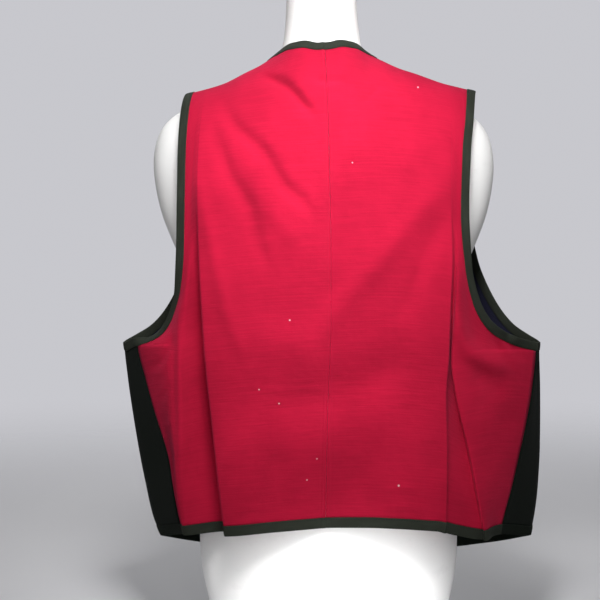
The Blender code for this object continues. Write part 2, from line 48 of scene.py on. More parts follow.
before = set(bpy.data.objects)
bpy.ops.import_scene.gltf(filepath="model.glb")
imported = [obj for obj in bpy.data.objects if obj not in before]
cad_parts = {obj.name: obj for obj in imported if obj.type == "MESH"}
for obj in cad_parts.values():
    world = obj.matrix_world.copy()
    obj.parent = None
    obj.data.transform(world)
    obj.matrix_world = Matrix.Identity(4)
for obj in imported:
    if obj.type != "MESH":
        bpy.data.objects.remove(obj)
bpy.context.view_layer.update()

# ---- the body of the vest (metres) ----
BLADE_Z = 0.550
CENTRE_UNDERARM_Z = 0.400
NECK_X = 0.0107
NECK_RADIUS = 0.070
NECK_DROP = 0.38
FRONT_EDGE_X = 0.0130
NOTCH_Z = 0.520
NECK_SLOPE = 0.9
BORDER_PULL = 1.5
FOLD_TURN = 0.004
FOLD_DEPTH = 0.006
PLEAT_OVERLAP = 0.005
PLEAT_DEEP = 0.008
PLEAT_SHUT_Z = 0.42
PLEAT_OPEN_Z = 0.56
OPEN_TUCK = 0.003
OPEN_FLOOR = 0.005
VALLEY_TUCK = 0.002
VALLEY_LEAST = 0.006
VALLEY_RISE = 0.008
FORM_LEAN = tan(radians(0.8))
NECK_TOP_Z = 0.826
CAP_RADIUS = 0.0430
CAP_HEIGHT = 0.009
CAP_GAP = 0.0003
CAP_RIM = 0.006
CAP_SINK = 0.0012
CAP_ROUNDING = 0.0012
EDGE_WIDTH = 0.0105
HEM_WIDTH = 0.0125

# ---- the making of the cloth: seams, seam allowances and tapes ----
# Panels stop short of the line of a seam by SEAM_DRAW, or by SIDE_DRAW where two meet at an angle.
SEAM_GAP = 0.00025
SEAM_DRAW = 0.00013
SIDE_DRAW = 0.00080
SEAM_REACH = 0.0022
SEAM_SINK = 0.0006
CENTRE_ROLL = 0.25
CENTRE_ROLL_LOW = 0.50
NECK_FADE = 0.01
CALM_REACH = 0.012
EDGE_CALM_REACH = 0.02
WING_REACH = 0.03
FOLD_START = 0.30
FOLD_END = 0.35
ALLOWANCE_TOP_Z = 0.345
ALLOWANCE_FADE = 0.05
ALLOWANCE_WIDTH = 0.0062
ALLOWANCE_RISE = 0.00030
ALLOWANCE_EDGE_SINK = 0.00035
ALLOWANCE_EDGE_REACH = 0.0010
ALLOWANCE_FLAT = 0.004
ALLOWANCE_SLOPE = 0.003
TAPE_LAP = 0.0012
TAPE_HALF = 0.0013
TAPE_SLOT = 0.00072
TAPE_LIP = 0.0003
TAPE_LIP_DROP = 0.00035
TAPE_CROWN = 0.00025
MERGE = 0.00002
FORM_MERGE = 0.00005
BACK_NODES = ["back_left", "back_right"]

# ---- the weave (metres from one thread, rib or stitch to the next) ----
WEAVE_PITCH = 0.0007
TWILL_PITCH = 0.0016
RIB_PITCH = 0.0012
STITCH_PITCH = 0.0032
STITCH_IN = 0.0021

# ---- fineness of the meshes ----
LOWER_ROWS = 64
UPPER_ROWS = 104
FORM_SIDES = 96

# ---- the studio ----
# Soft lights: name, place, aim, size, power, spread in degrees and colour.
LIGHTS = (
    ("overhead_soft", (-0.05, 0.38, 1.03), (0.00, 0.08, 0.71), 0.40, 0.74, 56.0, (1.0, 0.99, 0.99)),
    ("back_soft", (0.02, 0.85, 1.20), (0.01, 0.10, 0.47), 0.36, 1.20, 42.0, (1.0, 0.99, 0.99)),
    ("behind_camera", (0.45, 3.10, 0.60), (0.0, 0.0, 0.35), 1.2, 8.0, 180.0, (0.99, 0.99, 1.0)),
    ("low_bounce", (-0.08, 0.85, 0.05), (-0.02, 0.10, 0.00), 0.14, 0.36, 26.0, (1.0, 1.0, 1.0)),
    ("front_fill", (0.4, -2.6, 2.2), (0.0, 0.0, 0.45), 1.8, 18.0, 180.0, (0.98, 0.98, 1.0)),
)
AIR_LEVEL = 0.25
AIR_OVERHEAD = 0.40
FLOOR_FADE = (0.7, 2.6)
FLOOR_GAP = 0.0005
CAMERA_AIM = (0.03925, 0.11, 0.44375)
CAMERA_DISTANCE = 2.3
CAMERA_RISE = 4.0
CAMERA_LENS = 110.4

LEFT = 1.0
RIGHT = -1.0
SIDE_NAMES = {LEFT: "left", RIGHT: "right"}


def even(count, spread=1.0):
    """Shares up to 1 in the given number of steps, closer together at the start for a spread above 1."""
    return [(k / count) ** spread for k in range(1, count + 1)]


BACK_SPANS = (even(44, 1.6), even(28), even(8), even(7), even(12), even(18))
WING_SPAN = even(10)
FOLD_SHARE = 0.0154
CHEST_SHARE = 0.045
FRONT_SHARES = (
    [FOLD_SHARE * k / 3 for k in range(3)]
    + [FOLD_SHARE + (CHEST_SHARE - FOLD_SHARE) * k / 5 for k in range(5)]
    + [CHEST_SHARE + (1.0 - CHEST_SHARE) * (k / 64) ** 1.1 for k in range(65)]
)


class Table:
    """Named columns, one row for each height or distance, read as smooth curves that never overshoot."""

    def __init__(self, names, rows):
        self.names = names.split()
        self.rows = np.array(rows)
        self.places = self.rows[:, 0].tolist()
        self.curves = {name: self.curve(k) for k, name in enumerate(self.names)}

    def curve(self, column):
        """Values and tangents of one column."""
        slopes = np.diff(self.rows[:, column]) / np.diff(self.rows[:, 0])
        tangents = np.concatenate([slopes[:1], slopes[1:], slopes[-1:]])
        for k in range(1, len(slopes)):
            product = slopes[k - 1] * slopes[k]
            tangents[k] = 2.0 * product / (slopes[k - 1] + slopes[k]) if product > 0.0 else 0.0
        return self.rows[:, column].tolist(), tangents.tolist()

    def read(self, name, at):
        values, tangents = self.curves[name]
        at = min(max(at, self.places[0]), self.places[-1])
        k = min(bisect_right(self.places, at), len(self.places) - 1) - 1
        step = self.places[k + 1] - self.places[k]
        t = (at - self.places[k]) / step
        value = (2 * t**3 - 3 * t**2 + 1) * values[k] + (3 * t**2 - 2 * t**3) * values[k + 1]
        value += (t**3 - 2 * t**2 + t) * step * tangents[k]
        return value + (t**3 - t**2) * step * tangents[k + 1]


# Height of the shoulder ridge against the distance out from the middle of the neck.
SHOULDER = Table(
    "out     left    right",
    [
        (0.000, 0.8030, 0.8030),
        (0.020, 0.7980, 0.7980),
        (0.040, 0.7790, 0.7800),
        (0.060, 0.7550, 0.7574),
        (0.078, 0.7420, 0.7470),
        (0.100, 0.7310, 0.7370),
        (0.127, 0.7175, 0.7280),
        (0.153, 0.7095, 0.7187),
        (0.179, 0.7030, 0.7122),
        (0.205, 0.6960, 0.7060),
    ],
)

# The centre-back seam wanders a little.
CENTRE_BACK = Table(
    "z       x",
    [
        (0.150, 0.0070),
        (0.240, 0.0058),
        (0.320, 0.0040),
        (0.420, 0.0005),
        (0.510, 0.0006),
        (0.580, 0.0018),
        (0.900, 0.0107),
    ],
)

# Distance out of each line down the back: the crest of the pleat, the soft ridge beyond it, the side
# seam, and the fold at the side where the front turns forward.
BACK_LINES = {
    LEFT: Table(
        "z       crest   ridge   seam    wing",
        [
            (0.120, 0.1310, 0.1780, 0.1830, 0.2200),
            (0.150, 0.1338, 0.1850, 0.1935, 0.2325),
            (0.200, 0.1400, 0.1925, 0.2036, 0.2435),
            (0.232, 0.1435, 0.1942, 0.2085, 0.2496),
            (0.300, 0.1506, 0.1950, 0.2290, 0.2604),
            (0.335, 0.1545, 0.1950, 0.2390, 0.2650),
            (0.379, 0.1585, 0.1930, 0.2500, 0.2692),
            (0.430, 0.1620, 0.1880, 0.2530, 0.2700),
            (0.505, 0.1650, 0.1790, 0.2530, 0.2700),
            (0.590, 0.1660, 0.1760, 0.2530, 0.2700),
            (0.790, 0.1560, 0.1670, 0.2530, 0.2700),
        ],
    ),
    RIGHT: Table(
        "z       crest   ridge   seam    wing",
        [
            (0.120, 0.1439, 0.2040, 0.2150, 0.2640),
            (0.164, 0.1440, 0.1955, 0.2262, 0.2713),
            (0.194, 0.1445, 0.1900, 0.2345, 0.2741),
            (0.245, 0.1447, 0.1813, 0.2466, 0.2762),
            (0.276, 0.1440, 0.1750, 0.2537, 0.2763),
            (0.321, 0.1428, 0.1656, 0.2623, 0.2758),
            (0.372, 0.1460, 0.1600, 0.2680, 0.2742),
            (0.430, 0.1475, 0.1600, 0.2700, 0.2740),
            (0.495, 0.1500, 0.1595, 0.2700, 0.2740),
            (0.590, 0.1480, 0.1570, 0.2700, 0.2740),
            (0.790, 0.1570, 0.1680, 0.2700, 0.2740),
        ],
    ),
}

# How far back each of those lines stands.
BACK_DEPTHS = {
    LEFT: Table(
        "z       centre  blade   crest   tuck    floor   ridge   seam",
        [
            (0.120, 0.1120, 0.1180, 0.1120, 0.0930, 0.0760, 0.0640, 0.0560),
            (0.200, 0.1130, 0.1185, 0.1120, 0.0880, 0.0730, 0.0770, 0.0480),
            (0.300, 0.1130, 0.1180, 0.1110, 0.0860, 0.0720, 0.0820, 0.0390),
            (0.379, 0.1120, 0.1170, 0.1090, 0.0860, 0.0730, 0.0830, 0.0280),
            (0.480, 0.1110, 0.1150, 0.1040, 0.0910, 0.0840, 0.0860, 0.0280),
            (0.560, 0.1090, 0.1120, 0.0980, 0.0950, 0.0930, 0.0880, 0.0280),
            (0.640, 0.1090, 0.1110, 0.0960, 0.0940, 0.0930, 0.0900, 0.0280),
        ],
    ),
    RIGHT: Table(
        "z       centre  blade   crest   tuck    floor   ridge   seam",
        [
            (0.120, 0.1120, 0.1170, 0.1120, 0.1060, 0.0840, 0.0860, 0.0520),
            (0.250, 0.1130, 0.1180, 0.1120, 0.1030, 0.0830, 0.0930, 0.0390),
            (0.372, 0.1120, 0.1170, 0.1080, 0.0980, 0.0870, 0.0920, 0.0220),
            (0.480, 0.1110, 0.1150, 0.1040, 0.0950, 0.0900, 0.0920, 0.0220),
            (0.560, 0.1090, 0.1120, 0.1000, 0.0980, 0.0965, 0.0950, 0.0220),
            (0.640, 0.1090, 0.1110, 0.0980, 0.0970, 0.0960, 0.0940, 0.0220),
        ],
    ),
}

# Border of the back at the armhole, from the side seam up to the shoulder: distance out, depth and
# distance up the body. The last row is stretched to end on the shoulder ridge.
BACK_ARMHOLE = {
    LEFT: Table(
        "share   out     back    up",
        [
            (0.000, 0.2500, 0.0280, 0.3790),
            (0.070, 0.2330, 0.0400, 0.3850),
            (0.130, 0.2160, 0.0530, 0.3960),
            (0.190, 0.2020, 0.0660, 0.4180),
            (0.280, 0.1910, 0.0760, 0.4560),
            (0.400, 0.1865, 0.0830, 0.5050),
            (0.550, 0.1850, 0.0850, 0.5700),
            (0.700, 0.1840, 0.0860, 0.6350),
            (0.830, 0.1820, 0.0860, 0.6940),
            (1.000, 0.1770, 0.0850, 0.7900),
        ],
    ),
    RIGHT: Table(
        "share   out     back    up",
        [
            (0.000, 0.2680, 0.0220, 0.3720),
            (0.080, 0.2440, 0.0380, 0.3790),
            (0.160, 0.2180, 0.0560, 0.3910),
            (0.220, 0.1970, 0.0710, 0.4080),
            (0.290, 0.1800, 0.0820, 0.4380),
            (0.400, 0.1690, 0.0890, 0.4850),
            (0.550, 0.1635, 0.0930, 0.5550),
            (0.700, 0.1660, 0.0920, 0.6250),
            (0.830, 0.1720, 0.0890, 0.6850),
            (1.000, 0.1790, 0.0860, 0.7900),
        ],
    ),
}

# The same border on the front, as a distance in from the fold at the side.
FRONT_ARMHOLE = {
    LEFT: Table(
        "share   inset   up",
        [
            (0.000, 0.0000, 0.3710),
            (0.070, 0.0180, 0.3805),
            (0.140, 0.0370, 0.3920),
            (0.210, 0.0545, 0.4105),
            (0.300, 0.0710, 0.4400),
            (0.420, 0.0860, 0.4850),
            (0.570, 0.0955, 0.5500),
            (0.750, 0.0970, 0.6450),
            (1.000, 0.0930, 0.7900),
        ],
    ),
    RIGHT: Table(
        "share   inset   up",
        [
            (0.000, 0.0000, 0.3710),
            (0.070, 0.0170, 0.3810),
            (0.140, 0.0340, 0.3930),
            (0.210, 0.0500, 0.4120),
            (0.300, 0.0660, 0.4410),
            (0.420, 0.0820, 0.4850),
            (0.570, 0.0930, 0.5500),
            (0.750, 0.0960, 0.6450),
            (1.000, 0.0930, 0.7900),
        ],
    ),
}

# Depth of the front against the distance in from the fold at the side.
FRONT_PROFILE = Table(
    "inset   depth",
    [
        (0.000, 0.0000),
        (0.004, 0.0050),
        (0.012, 0.0110),
        (0.030, 0.0240),
        (0.060, 0.0500),
        (0.090, 0.0760),
        (0.130, 0.1000),
        (0.180, 0.1150),
        (0.230, 0.1210),
        (0.280, 0.1230),
    ],
)

# Top of the hem braid against the distance out, and on the front against the distance in.
BACK_HEM = Table(
    "out     left    right",
    [
        (0.000, 0.1665, 0.1665),
        (0.060, 0.1640, 0.1685),
        (0.135, 0.1575, 0.1640),
        (0.160, 0.1540, 0.1560),
        (0.200, 0.1480, 0.1470),
        (0.230, 0.1460, 0.1480),
    ],
)
FRONT_HEM = Table(
    "inset   z",
    [
        (0.000, 0.1370),
        (0.060, 0.1160),
        (0.100, 0.1050),
        (0.260, 0.0980),
    ],
)

# Half-width and half-depth of the dress form.
FORM_SECTIONS = [
    (0.0000, 0.1440, 0.0830),
    (0.0030, 0.1480, 0.0870),
    (0.0450, 0.1600, 0.0940),
    (0.0900, 0.1680, 0.0970),
    (0.1500, 0.1690, 0.0970),
    (0.2200, 0.1590, 0.0920),
    (0.3000, 0.1480, 0.0860),
    (0.3800, 0.1520, 0.0880),
    (0.4400, 0.1680, 0.0920),
    (0.5000, 0.1930, 0.0940),
    (0.5500, 0.2120, 0.0940),
    (0.6000, 0.2210, 0.0900),
    (0.6350, 0.2190, 0.0830),
    (0.6600, 0.2090, 0.0740),
    (0.6780, 0.1900, 0.0660),
    (0.6920, 0.1580, 0.0600),
    (0.7040, 0.1240, 0.0570),
    (0.7170, 0.0930, 0.0550),
    (0.7310, 0.0690, 0.0530),
    (0.7450, 0.0560, 0.0510),
    (0.7620, 0.0515, 0.0490),
    (0.7900, 0.0475, 0.0470),
    (NECK_TOP_Z, 0.0450, 0.0450),
]

# Soft folds of the back, as seen from behind: how far each stands proud (negative for a trough), its
# half-width, the places (x, z) that it runs through, and how much gentler it is on its left side.
Fold = namedtuple("Fold", "lift width path lean", defaults=(0.0,))
BACK_FOLDS = (
    # long drags from the left shoulder towards the middle
    Fold(-0.0050, 0.010, (
        (0.150, 0.705), (0.1355, 0.688), (0.118, 0.660), (0.0855, 0.631), (0.0605, 0.590),
        (0.0305, 0.560), (0.0143, 0.527),
    ), lean=0.2),
    Fold(-0.0044, 0.010, (
        (0.159, 0.690), (0.154, 0.673), (0.139, 0.635), (0.127, 0.602), (0.102, 0.560), (0.093, 0.522),
        (0.077, 0.480), (0.064, 0.459),
    ), lean=0.2),
    Fold(0.0026, 0.012, ((0.118, 0.640), (0.098, 0.602), (0.0805, 0.560), (0.048, 0.518), (0.030, 0.490))),
    Fold(0.0034, 0.010, (
        (0.172, 0.640), (0.168, 0.590), (0.152, 0.518), (0.143, 0.477), (0.127, 0.417), (0.098, 0.3545),
        (0.080, 0.330),
    )),
    # long ridge from the right armhole down to the hollow of the back, and the hollow under it
    Fold(0.0052, 0.017, (
        (-0.164, 0.640), (-0.152, 0.602), (-0.111, 0.556), (-0.0695, 0.5055), (-0.027, 0.459),
        (0.0055, 0.4086), (0.039, 0.367), (0.060, 0.350),
    )),
    Fold(-0.0070, 0.030, (
        (-0.120, 0.378), (-0.048, 0.343), (0.005, 0.324), (0.0605, 0.308), (0.110, 0.298),
    )),
    Fold(0.0040, 0.026, ((0.115, 0.420), (0.085, 0.398), (0.045, 0.392), (0.010, 0.400))),
    Fold(-0.0034, 0.013, ((-0.148, 0.560), (-0.120, 0.505), (-0.100, 0.450), (-0.080, 0.400))),
    # tucks under the neck
    Fold(-0.0075, 0.0078, (
        (0.096, 0.729), (0.0867, 0.7249), (0.0621, 0.7181), (0.0461, 0.7045), (0.0332, 0.6882),
        (0.0241, 0.6788), (0.018, 0.668),
    ), lean=0.3),
    Fold(-0.0026, 0.0050, ((0.024, 0.717), (0.002, 0.7185), (-0.0145, 0.718), (-0.024, 0.715))),
    Fold(-0.0014, 0.0060, ((-0.070, 0.720), (-0.052, 0.700), (-0.033, 0.684))),
    # flat creases across the small of the back
    Fold(0.0007, 0.0030, ((0.106, 0.335), (0.070, 0.331), (0.030, 0.3325), (-0.036, 0.329))),
    Fold(-0.0006, 0.0028, ((0.100, 0.312), (0.055, 0.308), (0.010, 0.310), (-0.030, 0.308))),
    Fold(0.0006, 0.0022, ((0.140, 0.238), (0.118, 0.2375), (0.095, 0.2385))),
    Fold(0.0006, 0.0024, ((0.130, 0.1765), (0.098, 0.1835), (0.066, 0.1885))),
    Fold(0.0006, 0.0020, ((-0.108, 0.2695), (-0.125, 0.269), (-0.142, 0.2695))),
    Fold(0.0006, 0.0022, ((-0.025, 0.542), (-0.040, 0.5405), (-0.054, 0.541))),
    Fold(0.0009, 0.0050, ((-0.044, 0.176), (-0.085, 0.183), (-0.134, 0.180))),
    Fold(0.0008, 0.0050, ((-0.050, 0.201), (-0.090, 0.208), (-0.130, 0.203))),
    # cloth pulled from the right underarm
    Fold(0.0085, 0.0115, (
        (-0.156, 0.540), (-0.158, 0.484), (-0.161, 0.414), (-0.174, 0.380), (-0.200, 0.362),
        (-0.230, 0.352), (-0.270, 0.345),
    )),
    Fold(-0.0034, 0.0120, ((-0.175, 0.350), (-0.195, 0.340), (-0.212, 0.325), (-0.223, 0.308))),
    Fold(-0.0020, 0.0042, (
        (-0.202, 0.398), (-0.212, 0.384), (-0.226, 0.362), (-0.240, 0.345), (-0.252, 0.330),
    )),
    Fold(0.0016, 0.0040, ((-0.210, 0.400), (-0.224, 0.378), (-0.238, 0.358), (-0.252, 0.342))),
    Fold(-0.0014, 0.0036, ((-0.218, 0.396), (-0.234, 0.376), (-0.250, 0.360))),
    # sharp ridge down the left side, with a hollow on each side of it
    Fold(0.0018, 0.0042, (
        (0.1945, 0.470), (0.193, 0.400), (0.1915, 0.300), (0.1895, 0.200), (0.188, 0.140),
    )),
    Fold(-0.0020, 0.0050, ((0.2015, 0.430), (0.200, 0.380), (0.198, 0.300), (0.1965, 0.220))),
    Fold(-0.0020, 0.0085, ((0.184, 0.460), (0.181, 0.330), (0.177, 0.220), (0.173, 0.140))),
    # lower back: soft swells beside a flatter middle
    Fold(-0.0105, 0.055, ((0.005, 0.270), (0.000, 0.150), (-0.005, 0.000), (-0.005, -0.130))),
    Fold(0.0022, 0.020, ((0.120, 0.300), (0.112, 0.240), (0.106, 0.180), (0.102, 0.150))),
    Fold(-0.0024, 0.018, ((0.070, 0.270), (0.064, 0.220), (0.056, 0.180), (0.050, 0.150))),
    Fold(-0.0024, 0.018, ((-0.025, 0.250), (-0.035, 0.215), (-0.050, 0.180), (-0.060, 0.150))),
    Fold(0.0022, 0.018, ((-0.095, 0.300), (-0.102, 0.250), (-0.108, 0.205), (-0.112, 0.170))),
    # cloth pulled from the left underarm
    Fold(-0.0020, 0.0040, (
        (0.196, 0.400), (0.202, 0.392), (0.214, 0.363), (0.2305, 0.351), (0.240, 0.346),
    )),
    Fold(0.0016, 0.0040, ((0.198, 0.385), (0.209, 0.358), (0.224, 0.343), (0.233, 0.338))),
    Fold(-0.0014, 0.0036, ((0.199, 0.338), (0.2055, 0.331), (0.2155, 0.313), (0.223, 0.306))),
    Fold(0.0010, 0.0034, ((0.200, 0.286), (0.209, 0.282), (0.219, 0.272))),
)
# The same for the fronts, as seen from the front, for either side.
FRONT_FOLDS = (
    Fold(-0.0030, 0.011, ((0.150, 0.700), (0.130, 0.655), (0.105, 0.600), (0.080, 0.550), (0.056, 0.505))),
    Fold(0.0022, 0.013, ((0.162, 0.610), (0.138, 0.550), (0.112, 0.490), (0.086, 0.430), (0.064, 0.385))),
    Fold(-0.0026, 0.013, ((0.170, 0.520), (0.148, 0.470), (0.124, 0.410), (0.104, 0.350))),
    Fold(-0.0030, 0.016, ((0.198, 0.380), (0.180, 0.320), (0.168, 0.250), (0.162, 0.180), (0.160, 0.130))),
    Fold(0.0026, 0.016, ((0.156, 0.350), (0.138, 0.290), (0.128, 0.210), (0.124, 0.140))),
    Fold(-0.0024, 0.014, ((0.118, 0.300), (0.100, 0.240), (0.092, 0.170), (0.090, 0.125))),
    Fold(0.0016, 0.012, ((0.070, 0.270), (0.060, 0.200), (0.058, 0.130))),
)


# ---- the shape of the cloth ----
def ridge_height(out, side):
    """Height of the shoulder ridge above a point, from its distance out from the centre."""
    from_neck = abs(side * out - NECK_X)
    return SHOULDER.read(SIDE_NAMES[side], from_neck)


def bent(point, side):
    """World place of a point given as (distance out, depth, distance up the body)."""
    out, back, up = point
    rise = ridge_height(out, side) - BLADE_Z
    turn = max(0.0, up - BLADE_Z) / rise
    if turn > 0.0:
        back *= cos(turn)
        up = BLADE_Z + rise * sin(turn)
    return (side * out, back, up)


def shoulder_up(out, side):
    """Distance up the body of the shoulder seam, or of the neck edge further in."""
    from_neck = abs(side * out - NECK_X)
    turn = pi / 2.0
    if from_neck < NECK_RADIUS:
        turn *= 1.0 - NECK_DROP * (1.0 - (from_neck / NECK_RADIUS) ** 2)
    return BLADE_Z + (ridge_height(out, side) - BLADE_Z) * turn


def neck_point(side):
    """Distance out of the point where the neck edge meets the shoulder seam."""
    return NECK_RADIUS + side * NECK_X


def onto_shoulder(up, last_up, out, side):
    """Stretch a distance up the body so that last_up comes to lie on the shoulder ridge."""
    if up <= BLADE_Z:
        return up
    return BLADE_Z + (up - BLADE_Z) * (shoulder_up(out, side) - BLADE_Z) / (last_up - BLADE_Z)


def through_stations(stations, spans, before_first=None, after_last=None):
    """Rounded row of points through the stations, with a list of shares for each span between two."""
    stations = np.array(stations)
    if before_first is None:
        before_first = 2.0 * stations[0] - stations[1]
    if after_last is None:
        after_last = 2.0 * stations[-1] - stations[-2]
    padded = np.vstack([before_first, stations, after_last])
    row = [stations[0]]
    for k, shares in enumerate(spans):
        before, start, end, after = padded[k : k + 4]
        reach = np.linalg.norm(end - start)
        into = (end - before) * reach / (reach + np.linalg.norm(start - before))
        out_of = (after - start) * reach / (reach + np.linalg.norm(after - end))
        for t in shares:
            point = (2 * t**3 - 3 * t**2 + 1) * start + (3 * t**2 - 2 * t**3) * end
            row.append(point + (t**3 - 2 * t**2 + t) * into + (t**3 - t**2) * out_of)
    return row


def side_seam(side, lower):
    """Point of the side seam, from the top of the hem braid up to the armhole."""
    top = BACK_ARMHOLE[side].rows[0, 3]
    low = BACK_HEM.read(SIDE_NAMES[side], BACK_LINES[side].read("seam", 0.150))
    up = low + (top - low) * lower
    return np.array([BACK_LINES[side].read("seam", up), BACK_DEPTHS[side].read("seam", up), up])


def side_fold(side, lower):
    """Start and tip of the fold at the side, where the front turns forward."""
    low = FRONT_HEM.read("z", 0.0)
    up = low + (FRONT_ARMHOLE[side].rows[0, 2] - low) * lower
    wing = BACK_LINES[side].read("wing", up)
    return np.array([wing - FOLD_TURN, FOLD_DEPTH, up]), np.array([wing, 0.0, up])


def back_armhole(side, upper):
    """Border of the back at the armhole."""
    armhole = BACK_ARMHOLE[side]
    out, back, up = (armhole.read(name, upper) for name in ("out", "back", "up"))
    return np.array([out, back, onto_shoulder(up, armhole.rows[-1, 3], out, side)])


def back_level(side, lower, upper):
    """Height of a row at the centre-back seam, before the edges are trued up."""
    if upper > 0.0:
        return CENTRE_UNDERARM_Z + (shoulder_up(side * NECK_X, side) - CENTRE_UNDERARM_Z) * upper
    return BACK_HEM.rows[0, 1] + (CENTRE_UNDERARM_Z - BACK_HEM.rows[0, 1]) * lower


def pleat_lines(side, up):
    """Distance out of the crest, tuck, floor and ridge of the long pleat beside the armhole."""
    crest = BACK_LINES[side].read("crest", up)
    ridge = BACK_LINES[side].read("ridge", up)
    closed = min(1.0, max(0.0, (PLEAT_OPEN_Z - up) / (PLEAT_OPEN_Z - PLEAT_SHUT_Z)))
    if side == LEFT:
        tuck = crest + OPEN_TUCK - (PLEAT_OVERLAP + OPEN_TUCK) * closed
        floor = crest + OPEN_FLOOR + (PLEAT_DEEP - OPEN_FLOOR) * closed
    else:
        tuck = crest + VALLEY_TUCK
        floor = max(ridge - VALLEY_RISE, crest + VALLEY_LEAST)
    return crest, tuck, floor, ridge


def back_row(side, lower, upper):
    """One row across half of the back, from the centre seam to the side seam or the armhole."""
    border = back_armhole(side, upper) if upper > 0.0 else side_seam(side, lower)
    level = back_level(side, lower, upper)
    middle = level + (border[2] - level) * 0.5
    centre = side * CENTRE_BACK.read("x", level)
    crest, tuck, floor, ridge = pleat_lines(side, middle)
    blade = centre + (crest - centre) * 0.5
    blade += (neck_point(side) - blade) * upper**2
    places = [
        ("centre", centre, 0.00),
        ("blade", blade, 0.12),
        ("crest", crest, 0.45),
        ("tuck", tuck, 0.50),
        ("floor", floor, 0.58),
        ("ridge", ridge, 0.75),
    ]
    stations = []
    for name, out, weight in places:
        up = level + (border[2] - level) * weight
        stations.append([out, BACK_DEPTHS[side].read(name, up), up, weight])
    stations.append([*border, 1.0])
    beyond = None
    if upper == 0.0:
        beyond = np.array([*side_fold(side, lower)[0], 1.0])
    row = through_stations(stations, BACK_SPANS, after_last=beyond)
    inner_end = shoulder_up(side * NECK_X, side)
    outer_end = shoulder_up(border[0], side)
    hem_level = back_level(side, 0.0, 0.0)
    hem_border = side_seam(side, 0.0)[2]
    points = []
    for out, back, up, weight in row:
        if upper > 0.0:
            end = inner_end + (outer_end - inner_end) * weight
            up += (shoulder_up(out, side) - end) * upper**3
        else:
            start = hem_level + (hem_border - hem_level) * weight
            up += (BACK_HEM.read(SIDE_NAMES[side], out) - start) * (1.0 - lower)
        points.append((out, back, up))
    return points


def front_inner(side, up):
    """Distance out of the front edge: straight below the notch, sloping up to the neck above it."""
    top = shoulder_up(neck_point(side), side)
    climb = max(0.0, (up - NOTCH_Z) / (top - NOTCH_Z))
    return FRONT_EDGE_X + (neck_point(side) - FRONT_EDGE_X) * climb**NECK_SLOPE


def wing_points(side, lower):
    """Back part of one row of the front, from the side seam towards the fold at the side."""
    turn_start, fold = side_fold(side, lower)
    seam = side_seam(side, lower)
    ridge_out = BACK_LINES[side].read("ridge", seam[2])
    ridge = [ridge_out, BACK_DEPTHS[side].read("ridge", seam[2]), seam[2]]
    return through_stations([seam, turn_start], (WING_SPAN,), ridge, fold)


def front_row(side, lower, upper):
    """One row of the front, from the side seam round the fold at the side to the front edge."""
    armhole = FRONT_ARMHOLE[side]
    wing = BACK_LINES[side].read("wing", armhole.read("up", upper))
    tip = BACK_ARMHOLE[side].rows[-1, 1]
    inset = armhole.read("inset", upper)
    inset *= 1.0 + ((wing - tip) / armhole.rows[-1, 1] - 1.0) * upper
    border_up = onto_shoulder(armhole.read("up", upper), armhole.rows[-1, 2], wing - inset, side)
    end_up = shoulder_up(neck_point(side), side)
    inner_up = CENTRE_UNDERARM_Z + (end_up - CENTRE_UNDERARM_Z) * upper
    row = wing_points(side, lower)
    for share in FRONT_SHARES:
        weight = (1.0 - share) ** BORDER_PULL
        up = inner_up + (border_up - inner_up) * weight
        if upper > 0.0:
            edge = front_inner(side, inner_up)
            out = wing - inset + (edge - wing + inset) * share
            end = end_up + (shoulder_up(tip, side) - end_up) * weight
            up += (shoulder_up(out, side) - end) * upper**3
        else:
            span = wing - FRONT_EDGE_X
            hem = FRONT_HEM.read("z", span * share)
            up = hem + (up - hem) * lower
            wing = BACK_LINES[side].read("wing", up)
            out = wing + (FRONT_EDGE_X - wing) * share
        row.append(np.array([out, -FRONT_PROFILE.read("depth", wing - out), up]))
    return row


def cloth_grid(side, row_points):
    """All rows of a panel, hem to shoulder."""
    rows = []
    for row in range(LOWER_ROWS + UPPER_ROWS + 1):
        lower = min(1.0, row / LOWER_ROWS)
        upper = max(0.0, (row - LOWER_ROWS) / UPPER_ROWS)
        rows.append([bent(point, side) for point in row_points(side, lower, upper)])
    return np.array(rows)


def ease(share):
    """Smooth rise from 0 to 1."""
    share = np.clip(share, 0.0, 1.0)
    return share * share * (3.0 - 2.0 * share)


def fold_lift(folds, x, z):
    """How far the folds stand proud of the plain cloth at the points (x, z)."""
    total = np.zeros_like(x)
    for fold in folds:
        line = np.array(through_stations(fold.path, [even(5)] * (len(fold.path) - 1)))
        ways = np.diff(line, axis=0)
        lengths = np.linalg.norm(ways, axis=1)
        passed = np.concatenate([[0.0], np.cumsum(lengths)])
        nearest = np.full(x.shape, np.inf)
        lift = np.zeros_like(x)
        for start, way, length, before in zip(line, ways, lengths, passed):
            dx, dz = x - start[0], z - start[1]
            along = np.clip((dx * way[0] + dz * way[1]) / length**2, 0.0, 1.0)
            dx, dz = dx - along * way[0], dz - along * way[1]
            distance = np.hypot(dx, dz)
            width = fold.width * (1.0 + fold.lean * np.sign(way[0] * dz - way[1] * dx))
            share = (before + along * length) / passed[-1]
            here = np.exp(-((distance / width) ** 2))
            here *= ease(share / FOLD_START) * ease((1.0 - share) / FOLD_END)
            lift = np.where(distance < nearest, here, lift)
            nearest = np.minimum(distance, nearest)
        total += fold.lift * lift
    return total


def unevenness(x, z):
    """Slight rise and fall that all worn cloth has."""
    drift = 2.4 * np.sin(8.0 * x - 15.0 * z + 1.3)
    swirl = 1.9 * np.sin(21.0 * x + 11.0 * z + 0.4)
    rise = 0.0008 * np.sin(24.0 * x + 29.0 * z + drift) + 0.0006 * np.sin(17.0 * z - 43.0 * x + swirl)
    return rise + 0.00022 * np.sin(88.0 * x + 61.0 * z + 2.0 * swirl - drift)


